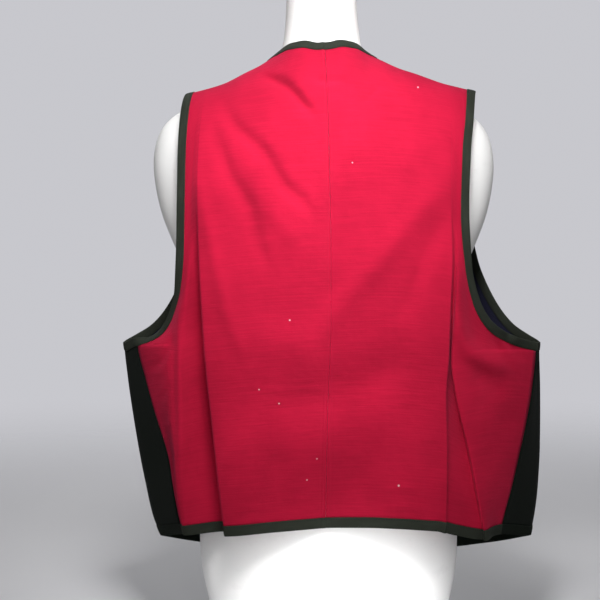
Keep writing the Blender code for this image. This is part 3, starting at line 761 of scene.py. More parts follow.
def grid_normals(points, side):
    """Outward direction of the cloth at each point of a grid."""
    across = np.gradient(points, axis=1)
    upward = np.gradient(points, axis=0)
    normals = np.cross(upward, across) * side
    return normals / np.maximum(np.linalg.norm(normals, axis=-1, keepdims=True), 1e-9)


def run_lengths(points, axis):
    """Length of cloth from the first point of each row or column up to every point."""
    steps = np.linalg.norm(np.diff(points, axis=axis), axis=-1)
    start = np.zeros_like(np.take(steps, [0], axis=axis))
    return np.concatenate([start, np.cumsum(steps, axis=axis)], axis=axis)


def facing(normals):
    """Way in which folds stand proud of each row: its mean outward direction, with no sideways part."""
    rows = normals[:, : normals.shape[1] // 2].mean(axis=1)
    rows[:, 0] = 0.0
    return smoothed(rows, 8, closed=False)[:, None]


def seam_roll(distance):
    """How far the cloth sinks into a seam, close to it."""
    return -SEAM_SINK * np.exp(-((distance / SEAM_REACH) ** 2))


@cache
def back_panel(side):
    """Folded points and outward directions of half of the back, with its flat coordinates."""
    points = cloth_grid(side, back_row)
    x, z = points[..., 0], points[..., 2]
    across, upward = run_lengths(points, 1), run_lengths(points, 0)
    to_side = across[:, -1:] - across
    to_top = upward[-1:] - upward
    sewn_side = np.zeros_like(x)
    sewn_side[: LOWER_ROWS + 1] = 1.0
    sewn_top = ease((np.abs(x - NECK_X) - NECK_RADIUS) / NECK_FADE)
    allowance = ease((ALLOWANCE_TOP_Z - z) / ALLOWANCE_FADE)
    calm = 1.0 - sewn_side * (1.0 - ease(to_side / CALM_REACH))
    calm *= 1.0 - sewn_top * (1.0 - ease(to_top / CALM_REACH))
    lift = (fold_lift(BACK_FOLDS, x, z) + unevenness(x, z)) * calm
    lift += seam_roll(across) * (CENTRE_ROLL + CENTRE_ROLL_LOW * allowance)
    lift += seam_roll(to_side) * sewn_side + seam_roll(to_top) * sewn_top
    edge = (across - ALLOWANCE_WIDTH) / ALLOWANCE_EDGE_REACH
    lift -= ALLOWANCE_EDGE_SINK * allowance * np.exp(-(edge**2))
    lift += ALLOWANCE_RISE * allowance * (1.0 - ease((across - ALLOWANCE_FLAT) / ALLOWANCE_SLOPE))
    folded = points + facing(grid_normals(points, side)) * lift[..., None]
    return folded, grid_normals(folded, side), across, upward


@cache
def front_panel(side):
    """The same for one front; the part behind the fold at the side stops at the armhole."""
    points = cloth_grid(side, front_row)
    fold = len(WING_SPAN) + 1
    normals = grid_normals(points, side)
    normals[: LOWER_ROWS + 1] = grid_normals(points[: LOWER_ROWS + 1], side)
    normals[LOWER_ROWS + 1 :, fold:] = grid_normals(points[LOWER_ROWS:, fold:], side)[1:]
    x, z = points[..., 0], points[..., 2]
    across, upward = run_lengths(points, 1), run_lengths(points, 0)
    to_top = upward[-1:] - upward
    behind = ease((across - across[:, fold : fold + 1]) / WING_REACH)
    behind[LOWER_ROWS + 1 :] = 1.0
    calm = behind * ease(to_top / CALM_REACH) * ease((across[:, -1:] - across) / EDGE_CALM_REACH)
    lift = (fold_lift(FRONT_FOLDS, side * x, z) + unevenness(x, z)) * calm
    sewn_side = np.zeros_like(x)
    sewn_side[: LOWER_ROWS + 1] = 1.0
    lift += seam_roll(across) * sewn_side + seam_roll(to_top)
    folded = points + facing(normals[:, fold:]) * lift[..., None]
    return folded, normals, across, upward


# ---- meshes ----
def grid_mesh(points, flat_across, flat_up):
    """Bmesh sheet through a grid of points, laid out flat in metres in the UV map named cut."""
    rows, columns = points.shape[:2]
    mesh = bmesh.new()
    bmesh.ops.create_grid(mesh, x_segments=columns - 1, y_segments=rows - 1, size=0.5)
    cut = mesh.loops.layers.uv.new("cut")
    table = [[None] * columns for _ in range(rows)]
    places = {}
    for vertex in mesh.verts:
        column = round((vertex.co.x + 0.5) * (columns - 1))
        row = round((vertex.co.y + 0.5) * (rows - 1))
        table[row][column] = vertex
        places[vertex] = (row, column)
    for face in mesh.faces:
        for loop in face.loops:
            row, column = places[loop.vert]
            loop[cut].uv = (flat_across[row, column], flat_up[row, column])
    for vertex, (row, column) in places.items():
        vertex.co = points[row, column]
    return mesh, table


def add_piece(name, mesh, materials, slot, *nodes):
    """Piece of the scene that rides on the frame's only body and stands for the given nodes."""
    data = bpy.data.meshes.new(name)
    mesh.to_mesh(data)
    mesh.free()
    for material in materials:
        data.materials.append(material)
    data.shade_smooth()
    piece = bpy.data.objects.new(name, data)
    bpy.context.scene.collection.objects.link(piece)
    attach(piece, "root")
    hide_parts(*nodes)
    return piece


def drawn_in(points, amounts):
    """Grid with its hem, top, first and last borders drawn in by the given amounts."""
    drawn = points.copy()
    borders = (
        (np.s_[0, :], np.s_[1, :]),
        (np.s_[-1, :], np.s_[-2, :]),
        (np.s_[:, 0], np.s_[:, 1]),
        (np.s_[:, -1], np.s_[:, -2]),
    )
    for (border, inner), amount in zip(borders, amounts):
        way = points[inner] - points[border]
        length = np.linalg.norm(way, axis=-1, keepdims=True)
        drawn[border] += way / np.maximum(length, amount) * amount
    return drawn


def thicken(piece, thickness, lining=0):
    """Cloth of the given thickness, with its inner side in another of the piece's materials."""
    wall = piece.modifiers.new("Cloth", "SOLIDIFY")
    wall.thickness = thickness
    wall.offset = 0.0
    wall.material_offset = lining


def smoothed(chain, passes, closed):
    """Row of directions evened out along its length."""
    for _ in range(passes):
        before, after = np.roll(chain, 1, axis=0), np.roll(chain, -1, axis=0)
        if not closed:
            before[0], after[-1] = chain[0], chain[-1]
        chain = (before + 2.0 * chain + after) / 4.0
    return chain / np.linalg.norm(chain, axis=1, keepdims=True)


def tape_profile(width):
    """Section of a tape folded over an edge: places (out from the edge, up from the cloth)."""
    outer = width - TAPE_HALF
    top = [(-TAPE_LAP, TAPE_HALF - TAPE_LIP_DROP), (-TAPE_LAP + TAPE_LIP, TAPE_HALF)]
    for out in np.linspace(0.001, outer, 5):
        top.append((out, TAPE_HALF + TAPE_CROWN * sin(pi * out / outer)))
    turn = [(outer + TAPE_HALF * sin(a), TAPE_HALF * cos(a)) for a in np.linspace(0.0, pi, 9)[1:-1]]
    under = [(out, -up) for out, up in reversed(top)]
    slot_end = outer + TAPE_SLOT * 0.5
    slot = [(-TAPE_LAP, -TAPE_SLOT), (slot_end, -TAPE_SLOT)]
    slot += [(slot_end, TAPE_SLOT), (-TAPE_LAP, TAPE_SLOT)]
    return np.array(top + turn + under + slot)


def tape(name, border, normals, width, away, material, nodes, closed=False, span=None):
    """Tape folded over a border of the cloth, or over the stretch of it between two of its points."""
    if closed:
        along = np.roll(border, -1, axis=0) - np.roll(border, 1, axis=0)
    else:
        along = np.gradient(border, axis=0)
    along = smoothed(along / np.linalg.norm(along, axis=1, keepdims=True), 3, closed)
    normals = smoothed(normals, 6, closed)
    outward = np.cross(along, normals)
    outward *= away / np.linalg.norm(outward, axis=1, keepdims=True)
    upright = np.cross(outward, along)
    upright *= np.sign(np.sum(upright * normals, axis=1, keepdims=True))
    if span:
        first, last = span
        border, outward, upright = (values[first : last + 1] for values in (border, outward, upright))
    profile = tape_profile(width)
    profile = np.concatenate([profile, profile[:1]])
    if closed:
        border, outward, upright = (np.concatenate([v, v[:1]]) for v in (border, outward, upright))
    out, up = profile[:, 0, None, None], profile[:, 1, None, None]
    rows = border[None] + out * outward[None] + up * upright[None]
    if not closed:
        for end, inner in ((0, 1), (-1, -2)):
            way = border[inner] - border[end]
            rows[:, end] += way / np.linalg.norm(way) * SEAM_GAP
    length = run_lengths(border[None], 1)[0]
    girth = run_lengths(profile[None], 1)[0]
    flat_across = np.broadcast_to(length[None, :], rows.shape[:2])
    flat_up = np.broadcast_to(girth[:, None], rows.shape[:2])
    mesh, _ = grid_mesh(rows, flat_across, flat_up)
    bmesh.ops.remove_doubles(mesh, verts=mesh.verts, dist=MERGE)
    if not closed:
        bmesh.ops.holes_fill(mesh, edges=mesh.edges, sides=len(profile))
    bmesh.ops.recalc_face_normals(mesh, faces=mesh.faces)
    piece = add_piece(name, mesh, [material], "dark_braid", *nodes)
    piece.data.set_sharp_from_angle(angle=radians(50.0))


# ---- finishes ----
class Strand:
    """A number, colour or place on its way through a finish, with Python's arithmetic on numbers."""

    def __init__(self, recipe, socket):
        self.recipe = recipe
        self.socket = socket

    def __add__(self, other):
        return self.recipe.maths("ADD", self, other)

    def __sub__(self, other):
        return self.recipe.maths("SUBTRACT", self, other)

    def __rsub__(self, other):
        return self.recipe.maths("SUBTRACT", other, self)

    def __mul__(self, other):
        return self.recipe.maths("MULTIPLY", self, other)

    __radd__ = __add__
    __rmul__ = __mul__


class Recipe:
    """A finish being mixed: its material, with what is the same all over set on the shader itself."""

    def __init__(self, name, **constants):
        self.material = bpy.data.materials.new(name)
        self.material.use_nodes = True
        self.tree = self.material.node_tree
        self.shader = self.tree.nodes["Principled BSDF"]
        for socket, value in constants.items():
            self.shader.inputs[socket.replace("_", " ")].default_value = value

    def node(self, kind, settings=None, sockets=None, output=0):
        """Output of a new node, with its settings made first and then its sockets."""
        node = self.tree.nodes.new("ShaderNode" + kind)
        for name, value in (settings or {}).items():
            setattr(node, name, value)
        for key, value in (sockets or {}).items():
            if isinstance(value, Strand):
                self.tree.links.new(value.socket, node.inputs[key])
            elif value is not None:
                node.inputs[key].default_value = value
        return Strand(self, node.outputs[output])

    def maths(self, operation, first, second=None):
        return self.node("Math", {"operation": operation}, {0: first, 1: second})

    def waves(self, along, pitch):
        """Sine that comes round once in each pitch."""
        return self.maths("SINE", along * (2.0 * pi / pitch))

    def noise(self, place, steps, detail=2.0, roughness=0.5):
        """Noise with the given number of changes to each metre, along each way."""
        spread = self.node("VectorMath", {"operation": "MULTIPLY"}, {0: place, 1: steps})
        return self.node(
            "TexNoise", {}, {"Vector": spread, "Scale": 1.0, "Detail": detail, "Roughness": roughness}
        )

    def mask(self, value, low, high):
        """Smooth rise from 0 at low to 1 at high."""
        settings = {"interpolation_type": "SMOOTHSTEP"}
        return self.node("MapRange", settings, {"Value": value, "From Min": low, "From Max": high})

    def mix(self, share, first, second):
        """Colour between two others."""
        return self.node("Mix", {"data_type": "RGBA"}, {0: share, 6: first, 7: second}, output=2)

    def cut(self):
        """Flat coordinates of the cloth in metres, and its two numbers."""
        place = self.node("UVMap", {"uv_map": "cut"})
        split = self.tree.nodes.new("ShaderNodeSeparateXYZ")
        self.tree.links.new(place.socket, split.inputs[0])
        return place, Strand(self, split.outputs[0]), Strand(self, split.outputs[1])

    def paint(self, socket, value):
        self.tree.links.new(value.socket, self.shader.inputs[socket])

    def relief(self, height):
        """Fine relief, with its height in metres."""
        bump = self.node("Bump", {}, {"Height": height, "Distance": 1.0, "Strength": 1.0})
        self.paint("Normal", bump)


def tinted(colour, amount):
    """Colour made lighter or darker by a factor."""
    return (colour[0] * amount, colour[1] * amount, colour[2] * amount, 1.0)


# Bits of white lint caught on the red cloth, as places (x, z) and sizes.
LINT = (
    (-0.1110, 0.7110, 0.0014),
    (-0.0260, 0.6150, 0.0011),
    (0.0520, 0.4190, 0.0013),
    (0.0905, 0.3320, 0.0011),
    (0.0655, 0.3140, 0.0012),
    (0.0180, 0.2440, 0.0010),
    (0.0305, 0.2170, 0.0010),
    (-0.0845, 0.2110, 0.0016),
)


def crimson_cotton(name, colour):
    """Plain-weave cotton with thick and thin threads, a little faded and creased."""
    cloth = Recipe(
        name,
        IOR=1.02,
        Sheen_Weight=0.10,
        Sheen_Roughness=0.50,
        Sheen_Tint=(1.0, 0.32, 0.60, 1.0),
    )
    place, across, up = cloth.cut()
    slubs = cloth.noise(place, (16.0, 460.0, 1.0), detail=3.0)
    threads = cloth.noise(place, (45.0, 1500.0, 1.0), detail=1.0)
    warp = cloth.noise(place, (1100.0, 22.0, 1.0), detail=1.0)
    fading = cloth.noise(place, (9.0, 7.0, 1.0), detail=4.0, roughness=0.6)
    weave = cloth.waves(across, WEAVE_PITCH) * cloth.waves(up, WEAVE_PITCH)
    crinkle = cloth.noise(place, (75.0, 110.0, 1.0), detail=3.0, roughness=0.55)
    thick = cloth.mask(slubs, 0.35, 0.72)
    base = cloth.mix(cloth.mask(fading, 0.3, 0.72), tinted(colour, 0.86), tinted(colour, 1.10))
    base = cloth.mix(thick * 0.30, base, tinted(colour, 1.35))
    base = cloth.mix(cloth.mask(threads, 0.42, 0.70) * 0.18, base, tinted(colour, 0.60))
    where = cloth.node("TexCoord", output=3)
    white = None
    for x, z, size in LINT:
        flat = cloth.node("VectorMath", {"operation": "MULTIPLY"}, {0: where, 1: (1.0, 0.0, 1.0)})
        away = cloth.node("VectorMath", {"operation": "DISTANCE"}, {0: flat, 1: (x, 0.0, z)}, output=1)
        speck = 1.0 - cloth.mask(away, size * 0.5, size)
        white = speck if white is None else cloth.maths("MAXIMUM", white, speck)
    cloth.paint("Base Color", cloth.mix(white * 0.65, base, (0.85, 0.70, 0.72, 1.0)))
    cloth.paint("Roughness", 0.72 + 0.14 * threads)
    height = weave * 0.00002 + slubs * 0.00034 + threads * 0.00008
    cloth.relief(height + warp * 0.00005 + crinkle * 0.00050)
    return cloth.material


def black_wool(name, colour):
    """Dense fulled wool, matt, with a short uneven nap."""
    cloth = Recipe(name, IOR=1.12, Sheen_Weight=0.03, Sheen_Roughness=0.5)
    place, across, up = cloth.cut()
    nap = cloth.noise(place, (900.0, 700.0, 1.0), detail=3.0, roughness=0.7)
    felt = cloth.noise(place, (60.0, 50.0, 1.0), detail=4.0)
    twill = cloth.waves(across + up, TWILL_PITCH)
    base = cloth.mix(cloth.mask(nap, 0.3, 0.75), tinted(colour, 0.7), tinted(colour, 1.9))
    cloth.paint("Base Color", base)
    cloth.paint("Roughness", 0.86 + 0.12 * nap)
    cloth.relief(nap * 0.00016 + felt * 0.0003 + twill * 0.000015)
    return cloth.material


def ribbed_braid(name, colour):
    """Woven tape with fine ribs across it, firm edges and a row of small stitches along the cloth."""
    tape_cloth = Recipe(name, IOR=1.08, Sheen_Weight=0.03, Sheen_Roughness=0.4)
    place, along, round_it = tape_cloth.cut()
    ribs = tape_cloth.waves(along, RIB_PITCH) * 0.5 + 0.5
    fibres = tape_cloth.noise(place, (260.0, 1500.0, 1.0), detail=2.0)
    worn = tape_cloth.noise(place, (22.0, 90.0, 1.0), detail=3.0)
    from_lip = tape_cloth.maths("ABSOLUTE", round_it - STITCH_IN)
    row = 1.0 - tape_cloth.mask(from_lip, 0.00025, 0.0006)
    stitch = row * tape_cloth.mask(tape_cloth.waves(along, STITCH_PITCH), -0.5, 0.1)
    base = tape_cloth.mix(ribs, tinted(colour, 0.62), tinted(colour, 1.15))
    base = tape_cloth.mix(tape_cloth.mask(worn, 0.45, 0.75) * 0.5, base, tinted(colour, 1.5))
    tape_cloth.paint("Base Color", tape_cloth.mix(stitch * 0.6, base, tinted(colour, 0.35)))
    tape_cloth.paint("Roughness", 0.62 + 0.2 * fibres)
    tape_cloth.relief(ribs * 0.00016 + fibres * 0.00008 - row * 0.00012 + stitch * 0.0001)
    return tape_cloth.material


def form_white(name, colour):
    """Smooth matt moulding with a slight unevenness and a few handling marks."""
    skin = Recipe(name, Specular_IOR_Level=0.35)
    place = skin.node("TexCoord", output=3)
    grain = skin.noise(place, (900.0, 900.0, 900.0), detail=2.0)
    swell = skin.noise(place, (14.0, 14.0, 9.0), detail=2.0)
    marks = skin.noise(place, (30.0, 30.0, 45.0), detail=5.0, roughness=0.65)
    rubbed = skin.mask(marks, 0.56, 0.74)
    skin.paint("Base Color", skin.mix(rubbed * 0.5, colour, tinted(colour, 0.90)))
    skin.paint("Roughness", 0.50 + 0.16 * rubbed + 0.05 * grain)
    skin.relief(grain * 0.00003 + swell * 0.0006)
    return skin.material


def cap_dark(name, colour):
    """Dark satin moulding, finely turned, with patches of dust."""
    skin = Recipe(name, Specular_IOR_Level=0.5)
    place = skin.node("TexCoord", output=3)
    dust = skin.mask(skin.noise(place, (60.0, 60.0, 60.0), detail=4.0), 0.5, 0.8)
    grain = skin.noise(place, (700.0, 700.0, 700.0), detail=2.0)
    skin.paint("Base Color", skin.mix(dust * 0.4, colour, (0.10, 0.10, 0.10, 1.0)))
    skin.paint("Roughness", 0.36 + 0.25 * dust)
    skin.relief(grain * 0.00004)
    return skin.material


def studio_grey(name, colour):
    """Pale studio floor that fades into the air far from its middle."""
    paint = Recipe(name, Specular_IOR_Level=0.1, Roughness=0.9)
    place = paint.node("TexCoord", output=3)
    patches = paint.noise(place, (0.7, 0.7, 0.7), detail=2.0)
    paint.paint("Base Color", paint.mix(patches, tinted(colour, 0.97), tinted(colour, 1.03)))
    away = paint.node("VectorMath", {"operation": "LENGTH"}, {0: place}, output=1)
    paint.paint("Alpha", 1.0 - paint.mask(away, FLOOR_FADE[0], FLOOR_FADE[1]))
    return paint.material


def studio_air(colour):
    """Even grey air, which lights the studio mostly from above."""
    world = bpy.data.worlds.new("studio_air")
    world.use_nodes = True
    tree = world.node_tree
    seen = tree.nodes["Background"]
    seen.inputs["Color"].default_value = colour
    lit = tree.nodes.new("ShaderNodeBackground")
    way = tree.nodes.new("ShaderNodeTexCoord")
    height = tree.nodes.new("ShaderNodeSeparateXYZ")
    tree.links.new(way.outputs["Generated"], height.inputs[0])
    strength = tree.nodes.new("ShaderNodeMapRange")
    tree.links.new(height.outputs["Z"], strength.inputs["Value"])
    strength.inputs["To Min"].default_value = AIR_LEVEL
    strength.inputs["To Max"].default_value = AIR_OVERHEAD
    tree.links.new(strength.outputs[0], lit.inputs["Strength"])
    straight = tree.nodes.new("ShaderNodeLightPath")
    either = tree.nodes.new("ShaderNodeMixShader")
    tree.links.new(straight.outputs["Is Camera Ray"], either.inputs["Fac"])
    tree.links.new(lit.outputs[0], either.inputs[1])
    tree.links.new(seen.outputs[0], either.inputs[2])
    tree.links.new(either.outputs[0], tree.nodes["World Output"].inputs["Surface"])
    return world


# ---- sizes and colours that can be changed ----
class VestSizes(bpy.types.PropertyGroup):
    """Sizes of the vest's cloth."""

    cotton: FloatProperty(
        name="Cotton", description="Thickness of the red cloth", default=0.0009, unit="LENGTH"
    )
    wool: FloatProperty(
        name="Wool", description="Thickness of the black cloth", default=0.0012, unit="LENGTH"
    )


def shade(name, description, default):
    """Colour that can be changed in the panel."""
    return FloatVectorProperty(
        name=name, description=description, default=(*default, 1.0), size=4, subtype="COLOR"
    )


class VestColours(bpy.types.PropertyGroup):
    """Colours of the vest, the form and the studio."""

    cotton: shade("Cotton", "Red of the back", (0.36, 0.0080, 0.031))
    wool: shade("Wool", "Black of the fronts", (0.0042, 0.0060, 0.0045))
    wool_inside: shade("Wool inside", "Navy of the inner side of the fronts", (0.010, 0.010, 0.022))
    braid: shade("Braid", "Charcoal green of the tape", (0.026, 0.030, 0.023))
    # Same braid as the other tapes, made darker: painted shade on the hem tape of the fronts.
    front_hem: shade("Front hem braid", "Darker tape under the fronts", (0.007, 0.010, 0.007))
    form: shade("Form", "White of the dress form", (0.93, 0.93, 0.92))
    cap: shade("Cap", "Dark cap of the neck", (0.020, 0.020, 0.022))
    floor: shade("Floor", "Grey of the studio floor", (0.74, 0.74, 0.765))
    air: shade("Air", "Grey behind everything", (0.575, 0.575, 0.61))


def made(name, maker, colour):
    """Finish of the given name, mixed the first time that it is asked for."""
    return bpy.data.materials.get(name) or maker(name, tuple(colour))


# ---- one operator for each group of pieces ----
class VEST_OT_back(bpy.types.Operator):
    """Two red halves of the back"""

    bl_idname = "vest.back"
    bl_label = "Back"

    def execute(self, context):
        scene = context.scene
        cotton = made("vest_cotton", crimson_cotton, scene.vest_colours.cotton)
        for side in (LEFT, RIGHT):
            points, _, across, up = back_panel(side)
            drawn = drawn_in(points, (SEAM_DRAW, SIDE_DRAW, SEAM_DRAW, SIDE_DRAW))
            mesh, _ = grid_mesh(drawn, across * side, up)
            if side == LEFT:
                bmesh.ops.reverse_faces(mesh, faces=mesh.faces)
            name = SIDE_NAMES[side]
            piece = add_piece(f"{name}_back_panel", mesh, [cotton], "crimson_cotton", f"back_{name}")
            thicken(piece, scene.vest_sizes.cotton)
        return {"FINISHED"}


class VEST_OT_fronts(bpy.types.Operator):
    """Two black fronts, whose inner side is navy"""

    bl_idname = "vest.fronts"
    bl_label = "Fronts"

    def execute(self, context):
        scene = context.scene
        wool = made("vest_wool", black_wool, scene.vest_colours.wool)
        inside = made("vest_wool_inside", black_wool, scene.vest_colours.wool_inside)
        fold = len(WING_SPAN) + 1
        for side in (LEFT, RIGHT):
            points, _, across, up = front_panel(side)
            drawn = drawn_in(points, (SEAM_DRAW, SIDE_DRAW, SIDE_DRAW, SEAM_DRAW))
            mesh, table = grid_mesh(drawn, across * side, up)
            beyond = []
            for row in range(LOWER_ROWS + 1, LOWER_ROWS + UPPER_ROWS + 1):
                beyond += table[row][:fold]
            bmesh.ops.delete(mesh, geom=beyond, context="VERTS")
            if side == LEFT:
                bmesh.ops.reverse_faces(mesh, faces=mesh.faces)
            name = SIDE_NAMES[side]
            piece = add_piece(f"{name}_front_panel", mesh, [wool, inside], "black_wool", f"front_{name}")
            thicken(piece, scene.vest_sizes.wool, lining=1)
        return {"FINISHED"}


class VEST_OT_armhole_tapes(bpy.types.Operator):
    """Tape round each armhole"""

    bl_idname = "vest.armhole_tapes"
    bl_label = "Armhole tapes"

    def execute(self, context):
        braid = made("vest_tape", ribbed_braid, context.scene.vest_colours.braid)
        fold = len(WING_SPAN) + 1
        for side in (LEFT, RIGHT):
            back, front = back_panel(side), front_panel(side)

            def ring(part):
                seam = (back[part][LOWER_ROWS, -1:] + front[part][LOWER_ROWS, :1]) / 2.0
                up_back = back[part][LOWER_ROWS + 1 : -1, -1]
                shoulder = (back[part][-1:, -1] + front[part][-1:, fold]) / 2.0
                down_front = front[part][LOWER_ROWS:-1, fold][::-1]
                under_arm = front[part][LOWER_ROWS, 1:fold][::-1]
                return np.concatenate([seam, up_back, shoulder, down_front, under_arm])

            name = SIDE_NAMES[side]
            nodes, rests_on = [f"binding_armhole_{name}"], [f"back_{name}", f"front_{name}"]
            border, normals = ring(0), ring(1)
            name = f"{name}_armhole_tape"
            tape(name, border, normals, EDGE_WIDTH, -side, braid, nodes, closed=True)
        return {"FINISHED"}


class VEST_OT_front_and_neck_tapes(bpy.types.Operator):
    """Tape up both front edges and round the neck"""

    bl_idname = "vest.front_and_neck_tapes"
    bl_label = "Front and neck tapes"

    def execute(self, context):
        braid = made("vest_tape", ribbed_braid, context.scene.vest_colours.braid)
        backs = {side: back_panel(side) for side in (LEFT, RIGHT)}
        fronts = {side: front_panel(side) for side in (LEFT, RIGHT)}
        neck = len(BACK_SPANS[0])

        def chain(part):
            up_left = fronts[LEFT][part][:, -1]
            neck_left = backs[LEFT][part][-1, 1:neck][::-1]
            middle = (backs[LEFT][part][-1, 0] + backs[RIGHT][part][-1, 0])[None] / 2.0
            neck_right = backs[RIGHT][part][-1, 1:neck]
            down_right = fronts[RIGHT][part][:, -1][::-1]
            return np.concatenate([up_left, neck_left, middle, neck_right, down_right])

        border, normals = chain(0), chain(1)
        foot = np.array([[0.0, 0.0, HEM_WIDTH]])
        border = np.concatenate([border[:1] - foot, border, border[-1:] - foot])
        normals = np.concatenate([normals[:1], normals, normals[-1:]])
        side_count = LOWER_ROWS + UPPER_ROWS + 1
        total = len(border) - 1
        stretches = (
            ("left_front_tape", "binding_front_left", ["front_left"], 0, side_count),
            ("neck_tape", "binding_neck", BACK_NODES, side_count, total - side_count),
            ("right_front_tape", "binding_front_right", ["front_right"], total - side_count, total),
        )
        for name, node, rests_on, first, last in stretches:
            tape(name, border, normals, EDGE_WIDTH, -1.0, braid, [node], span=(first, last))
        return {"FINISHED"}


class VEST_OT_hem_tapes(bpy.types.Operator):
    """Tape along the hem of the back and of both fronts"""

    bl_idname = "vest.hem_tapes"
    bl_label = "Hem tapes"

    def execute(self, context):
        colours = context.scene.vest_colours
        braid = made("vest_tape", ribbed_braid, colours.braid)
        # The fronts' hem tape is the same braid in a darker colour: painted shade.
        dark = made("vest_front_hem_tape", ribbed_braid, colours.front_hem)
        backs = {side: back_panel(side) for side in (LEFT, RIGHT)}
        fronts = {side: front_panel(side) for side in (LEFT, RIGHT)}

        def chain(part):
            round_left = fronts[LEFT][part][0, ::-1]
            back_left = backs[LEFT][part][0, 1:-1][::-1]
            middle = (backs[LEFT][part][0, 0] + backs[RIGHT][part][0, 0])[None] / 2.0
            back_right = backs[RIGHT][part][0, 1:-1]
            round_right = fronts[RIGHT][part][0]
            return np.concatenate([round_left, back_left, middle, back_right, round_right])

        border, normals = chain(0), chain(1)
        seam = fronts[LEFT][0].shape[1] - 1
        total = len(border) - 1
        stretches = (
            ("left_hem_tape", "binding_hem_left", ["front_left"], 0, seam, dark),
            ("back_hem_tape", "binding_hem_back", BACK_NODES, seam, total - seam, braid),
            ("right_hem_tape", "binding_hem_right", ["front_right"], total - seam, total, dark),
        )
        for name, node, rests_on, first, last, finish in stretches:
            tape(name, border, normals, HEM_WIDTH, 1.0, finish, [node], span=(first, last))
        return {"FINISHED"}


class VEST_OT_dress_form(bpy.types.Operator):
    """White limbless form and the dark cap of its neck"""

    bl_idname = "vest.dress_form"
    bl_label = "Dress form"

    def execute(self, context):
        colours = context.scene.vest_colours
        sections = through_stations(FORM_SECTIONS, [even(6)] * (len(FORM_SECTIONS) - 1))
        turns = [2.0 * pi * k / FORM_SIDES for k in range(FORM_SIDES + 1)]
        rings = [[(z * FORM_LEAN + w * cos(a), d * sin(a), z) for a in turns] for z, w, d in sections]
        points = np.array(rings)
        mesh, _ = grid_mesh(points, run_lengths(points, 1), run_lengths(points, 0))
        bmesh.ops.remove_doubles(mesh, verts=mesh.verts, dist=FORM_MERGE)
        bmesh.ops.holes_fill(mesh, edges=mesh.edges, sides=FORM_SIDES)
        bmesh.ops.recalc_face_normals(mesh, faces=mesh.faces)
        white = made("form_skin", form_white, colours.form)
        torso = add_piece("form_torso", mesh, [white], "form_white", "dress_form")
        torso.data.set_sharp_from_angle(angle=radians(50.0))

        mesh = bmesh.new()
        middle = NECK_TOP_Z + CAP_GAP + CAP_HEIGHT / 2.0
        bmesh.ops.create_cone(
            mesh, cap_ends=True, segments=FORM_SIDES, radius1=CAP_RADIUS, radius2=CAP_RADIUS, depth=CAP_HEIGHT
        )
        top = [face for face in mesh.faces if face.normal.z > 0.5]
        bmesh.ops.inset_region(mesh, faces=top, thickness=CAP_RIM, depth=-CAP_SINK)
        rims = [edge for edge in mesh.edges if edge.calc_face_angle(0.0) > radians(20.0)]
        bmesh.ops.bevel(
            mesh, geom=rims, offset=CAP_ROUNDING, segments=3, affect="EDGES", profile=0.5, material=-1
        )
        bmesh.ops.translate(mesh, verts=mesh.verts, vec=(NECK_TOP_Z * FORM_LEAN, 0.0, middle))
        dark = made("form_cap", cap_dark, colours.cap)
        cap = add_piece("form_neck_cap", mesh, [dark], "cap_dark", "neck_cap")
        cap.data.set_sharp_from_angle(angle=radians(35.0))
        return {"FINISHED"}


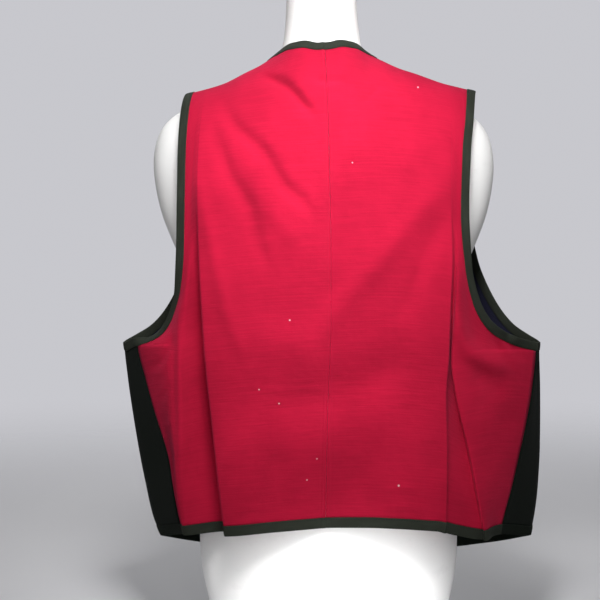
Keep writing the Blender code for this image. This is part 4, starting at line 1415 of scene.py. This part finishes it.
class VEST_OT_studio(bpy.types.Operator):
    """Pale floor that fades into the grey air, soft lights and the camera"""

    bl_idname = "vest.studio"
    bl_label = "Studio"

    def execute(self, context):
        scene = context.scene
        mesh = bmesh.new()
        bmesh.ops.create_circle(mesh, cap_ends=True, radius=FLOOR_FADE[1] + 0.5, segments=96)
        bmesh.ops.translate(mesh, verts=mesh.verts, vec=(0.0, 0.0, -FLOOR_GAP))
        data = bpy.data.meshes.new("studio_floor")
        mesh.to_mesh(data)
        mesh.free()
        data.materials.append(made("studio_grey", studio_grey, scene.vest_colours.floor))
        floor = bpy.data.objects.new("studio_floor", data)
        scene.collection.objects.link(floor)

        for name, place, aim, size, power, spread, colour in LIGHTS:
            lamp = bpy.data.lights.new(name, "AREA")
            lamp.shape = "DISK"
            lamp.size = size
            lamp.energy = power
            lamp.spread = radians(spread)
            lamp.color = colour
            light = bpy.data.objects.new(name, lamp)
            light.location = place
            light.rotation_euler = (Vector(aim) - Vector(place)).to_track_quat("-Z", "Y").to_euler()
            light.visible_camera = False
            scene.collection.objects.link(light)

        scene.world = studio_air(tuple(scene.vest_colours.air))

        lens = bpy.data.cameras.new("studio_camera")
        lens.lens = CAMERA_LENS
        lens.clip_end = 50.0
        camera = bpy.data.objects.new("studio_camera", lens)
        aim = Vector(CAMERA_AIM)
        rise = radians(CAMERA_RISE)
        camera.location = aim + CAMERA_DISTANCE * Vector((0.0, cos(rise), sin(rise)))
        camera.rotation_euler = (aim - camera.location).to_track_quat("-Z", "Y").to_euler()
        scene.collection.objects.link(camera)
        scene.camera = camera
        scene.view_settings.view_transform = "Standard"
        return {"FINISHED"}


class VEST_PT_pieces(bpy.types.Panel):
    """Lists the pieces, sizes and colours of the vest"""

    bl_idname = "VEST_PT_pieces"
    bl_label = "Folk vest"
    bl_space_type = "VIEW_3D"
    bl_region_type = "UI"
    bl_category = "Vest"

    def draw(self, context):
        for maker in MAKERS:
            self.layout.operator(maker.bl_idname)
        for group in (context.scene.vest_sizes, context.scene.vest_colours):
            box = self.layout.box()
            for name in group.__annotations__:
                box.prop(group, name)


MAKERS = (
    VEST_OT_back,
    VEST_OT_fronts,
    VEST_OT_armhole_tapes,
    VEST_OT_front_and_neck_tapes,
    VEST_OT_hem_tapes,
    VEST_OT_dress_form,
    VEST_OT_studio,
)
CLASSES = (VestSizes, VestColours, *MAKERS, VEST_PT_pieces)


def register():
    for cls in CLASSES:
        bpy.utils.register_class(cls)
    bpy.types.Scene.vest_sizes = PointerProperty(type=VestSizes)
    bpy.types.Scene.vest_colours = PointerProperty(type=VestColours)


def unregister():
    del bpy.types.Scene.vest_colours
    del bpy.types.Scene.vest_sizes
    for cls in reversed(CLASSES):
        bpy.utils.unregister_class(cls)


def main():
    register()
    bpy.ops.vest.back()
    bpy.ops.vest.fronts()
    bpy.ops.vest.armhole_tapes()
    bpy.ops.vest.front_and_neck_tapes()
    bpy.ops.vest.hem_tapes()
    bpy.ops.vest.dress_form()
    bpy.ops.vest.studio()


if __name__ == "__main__":
    main()
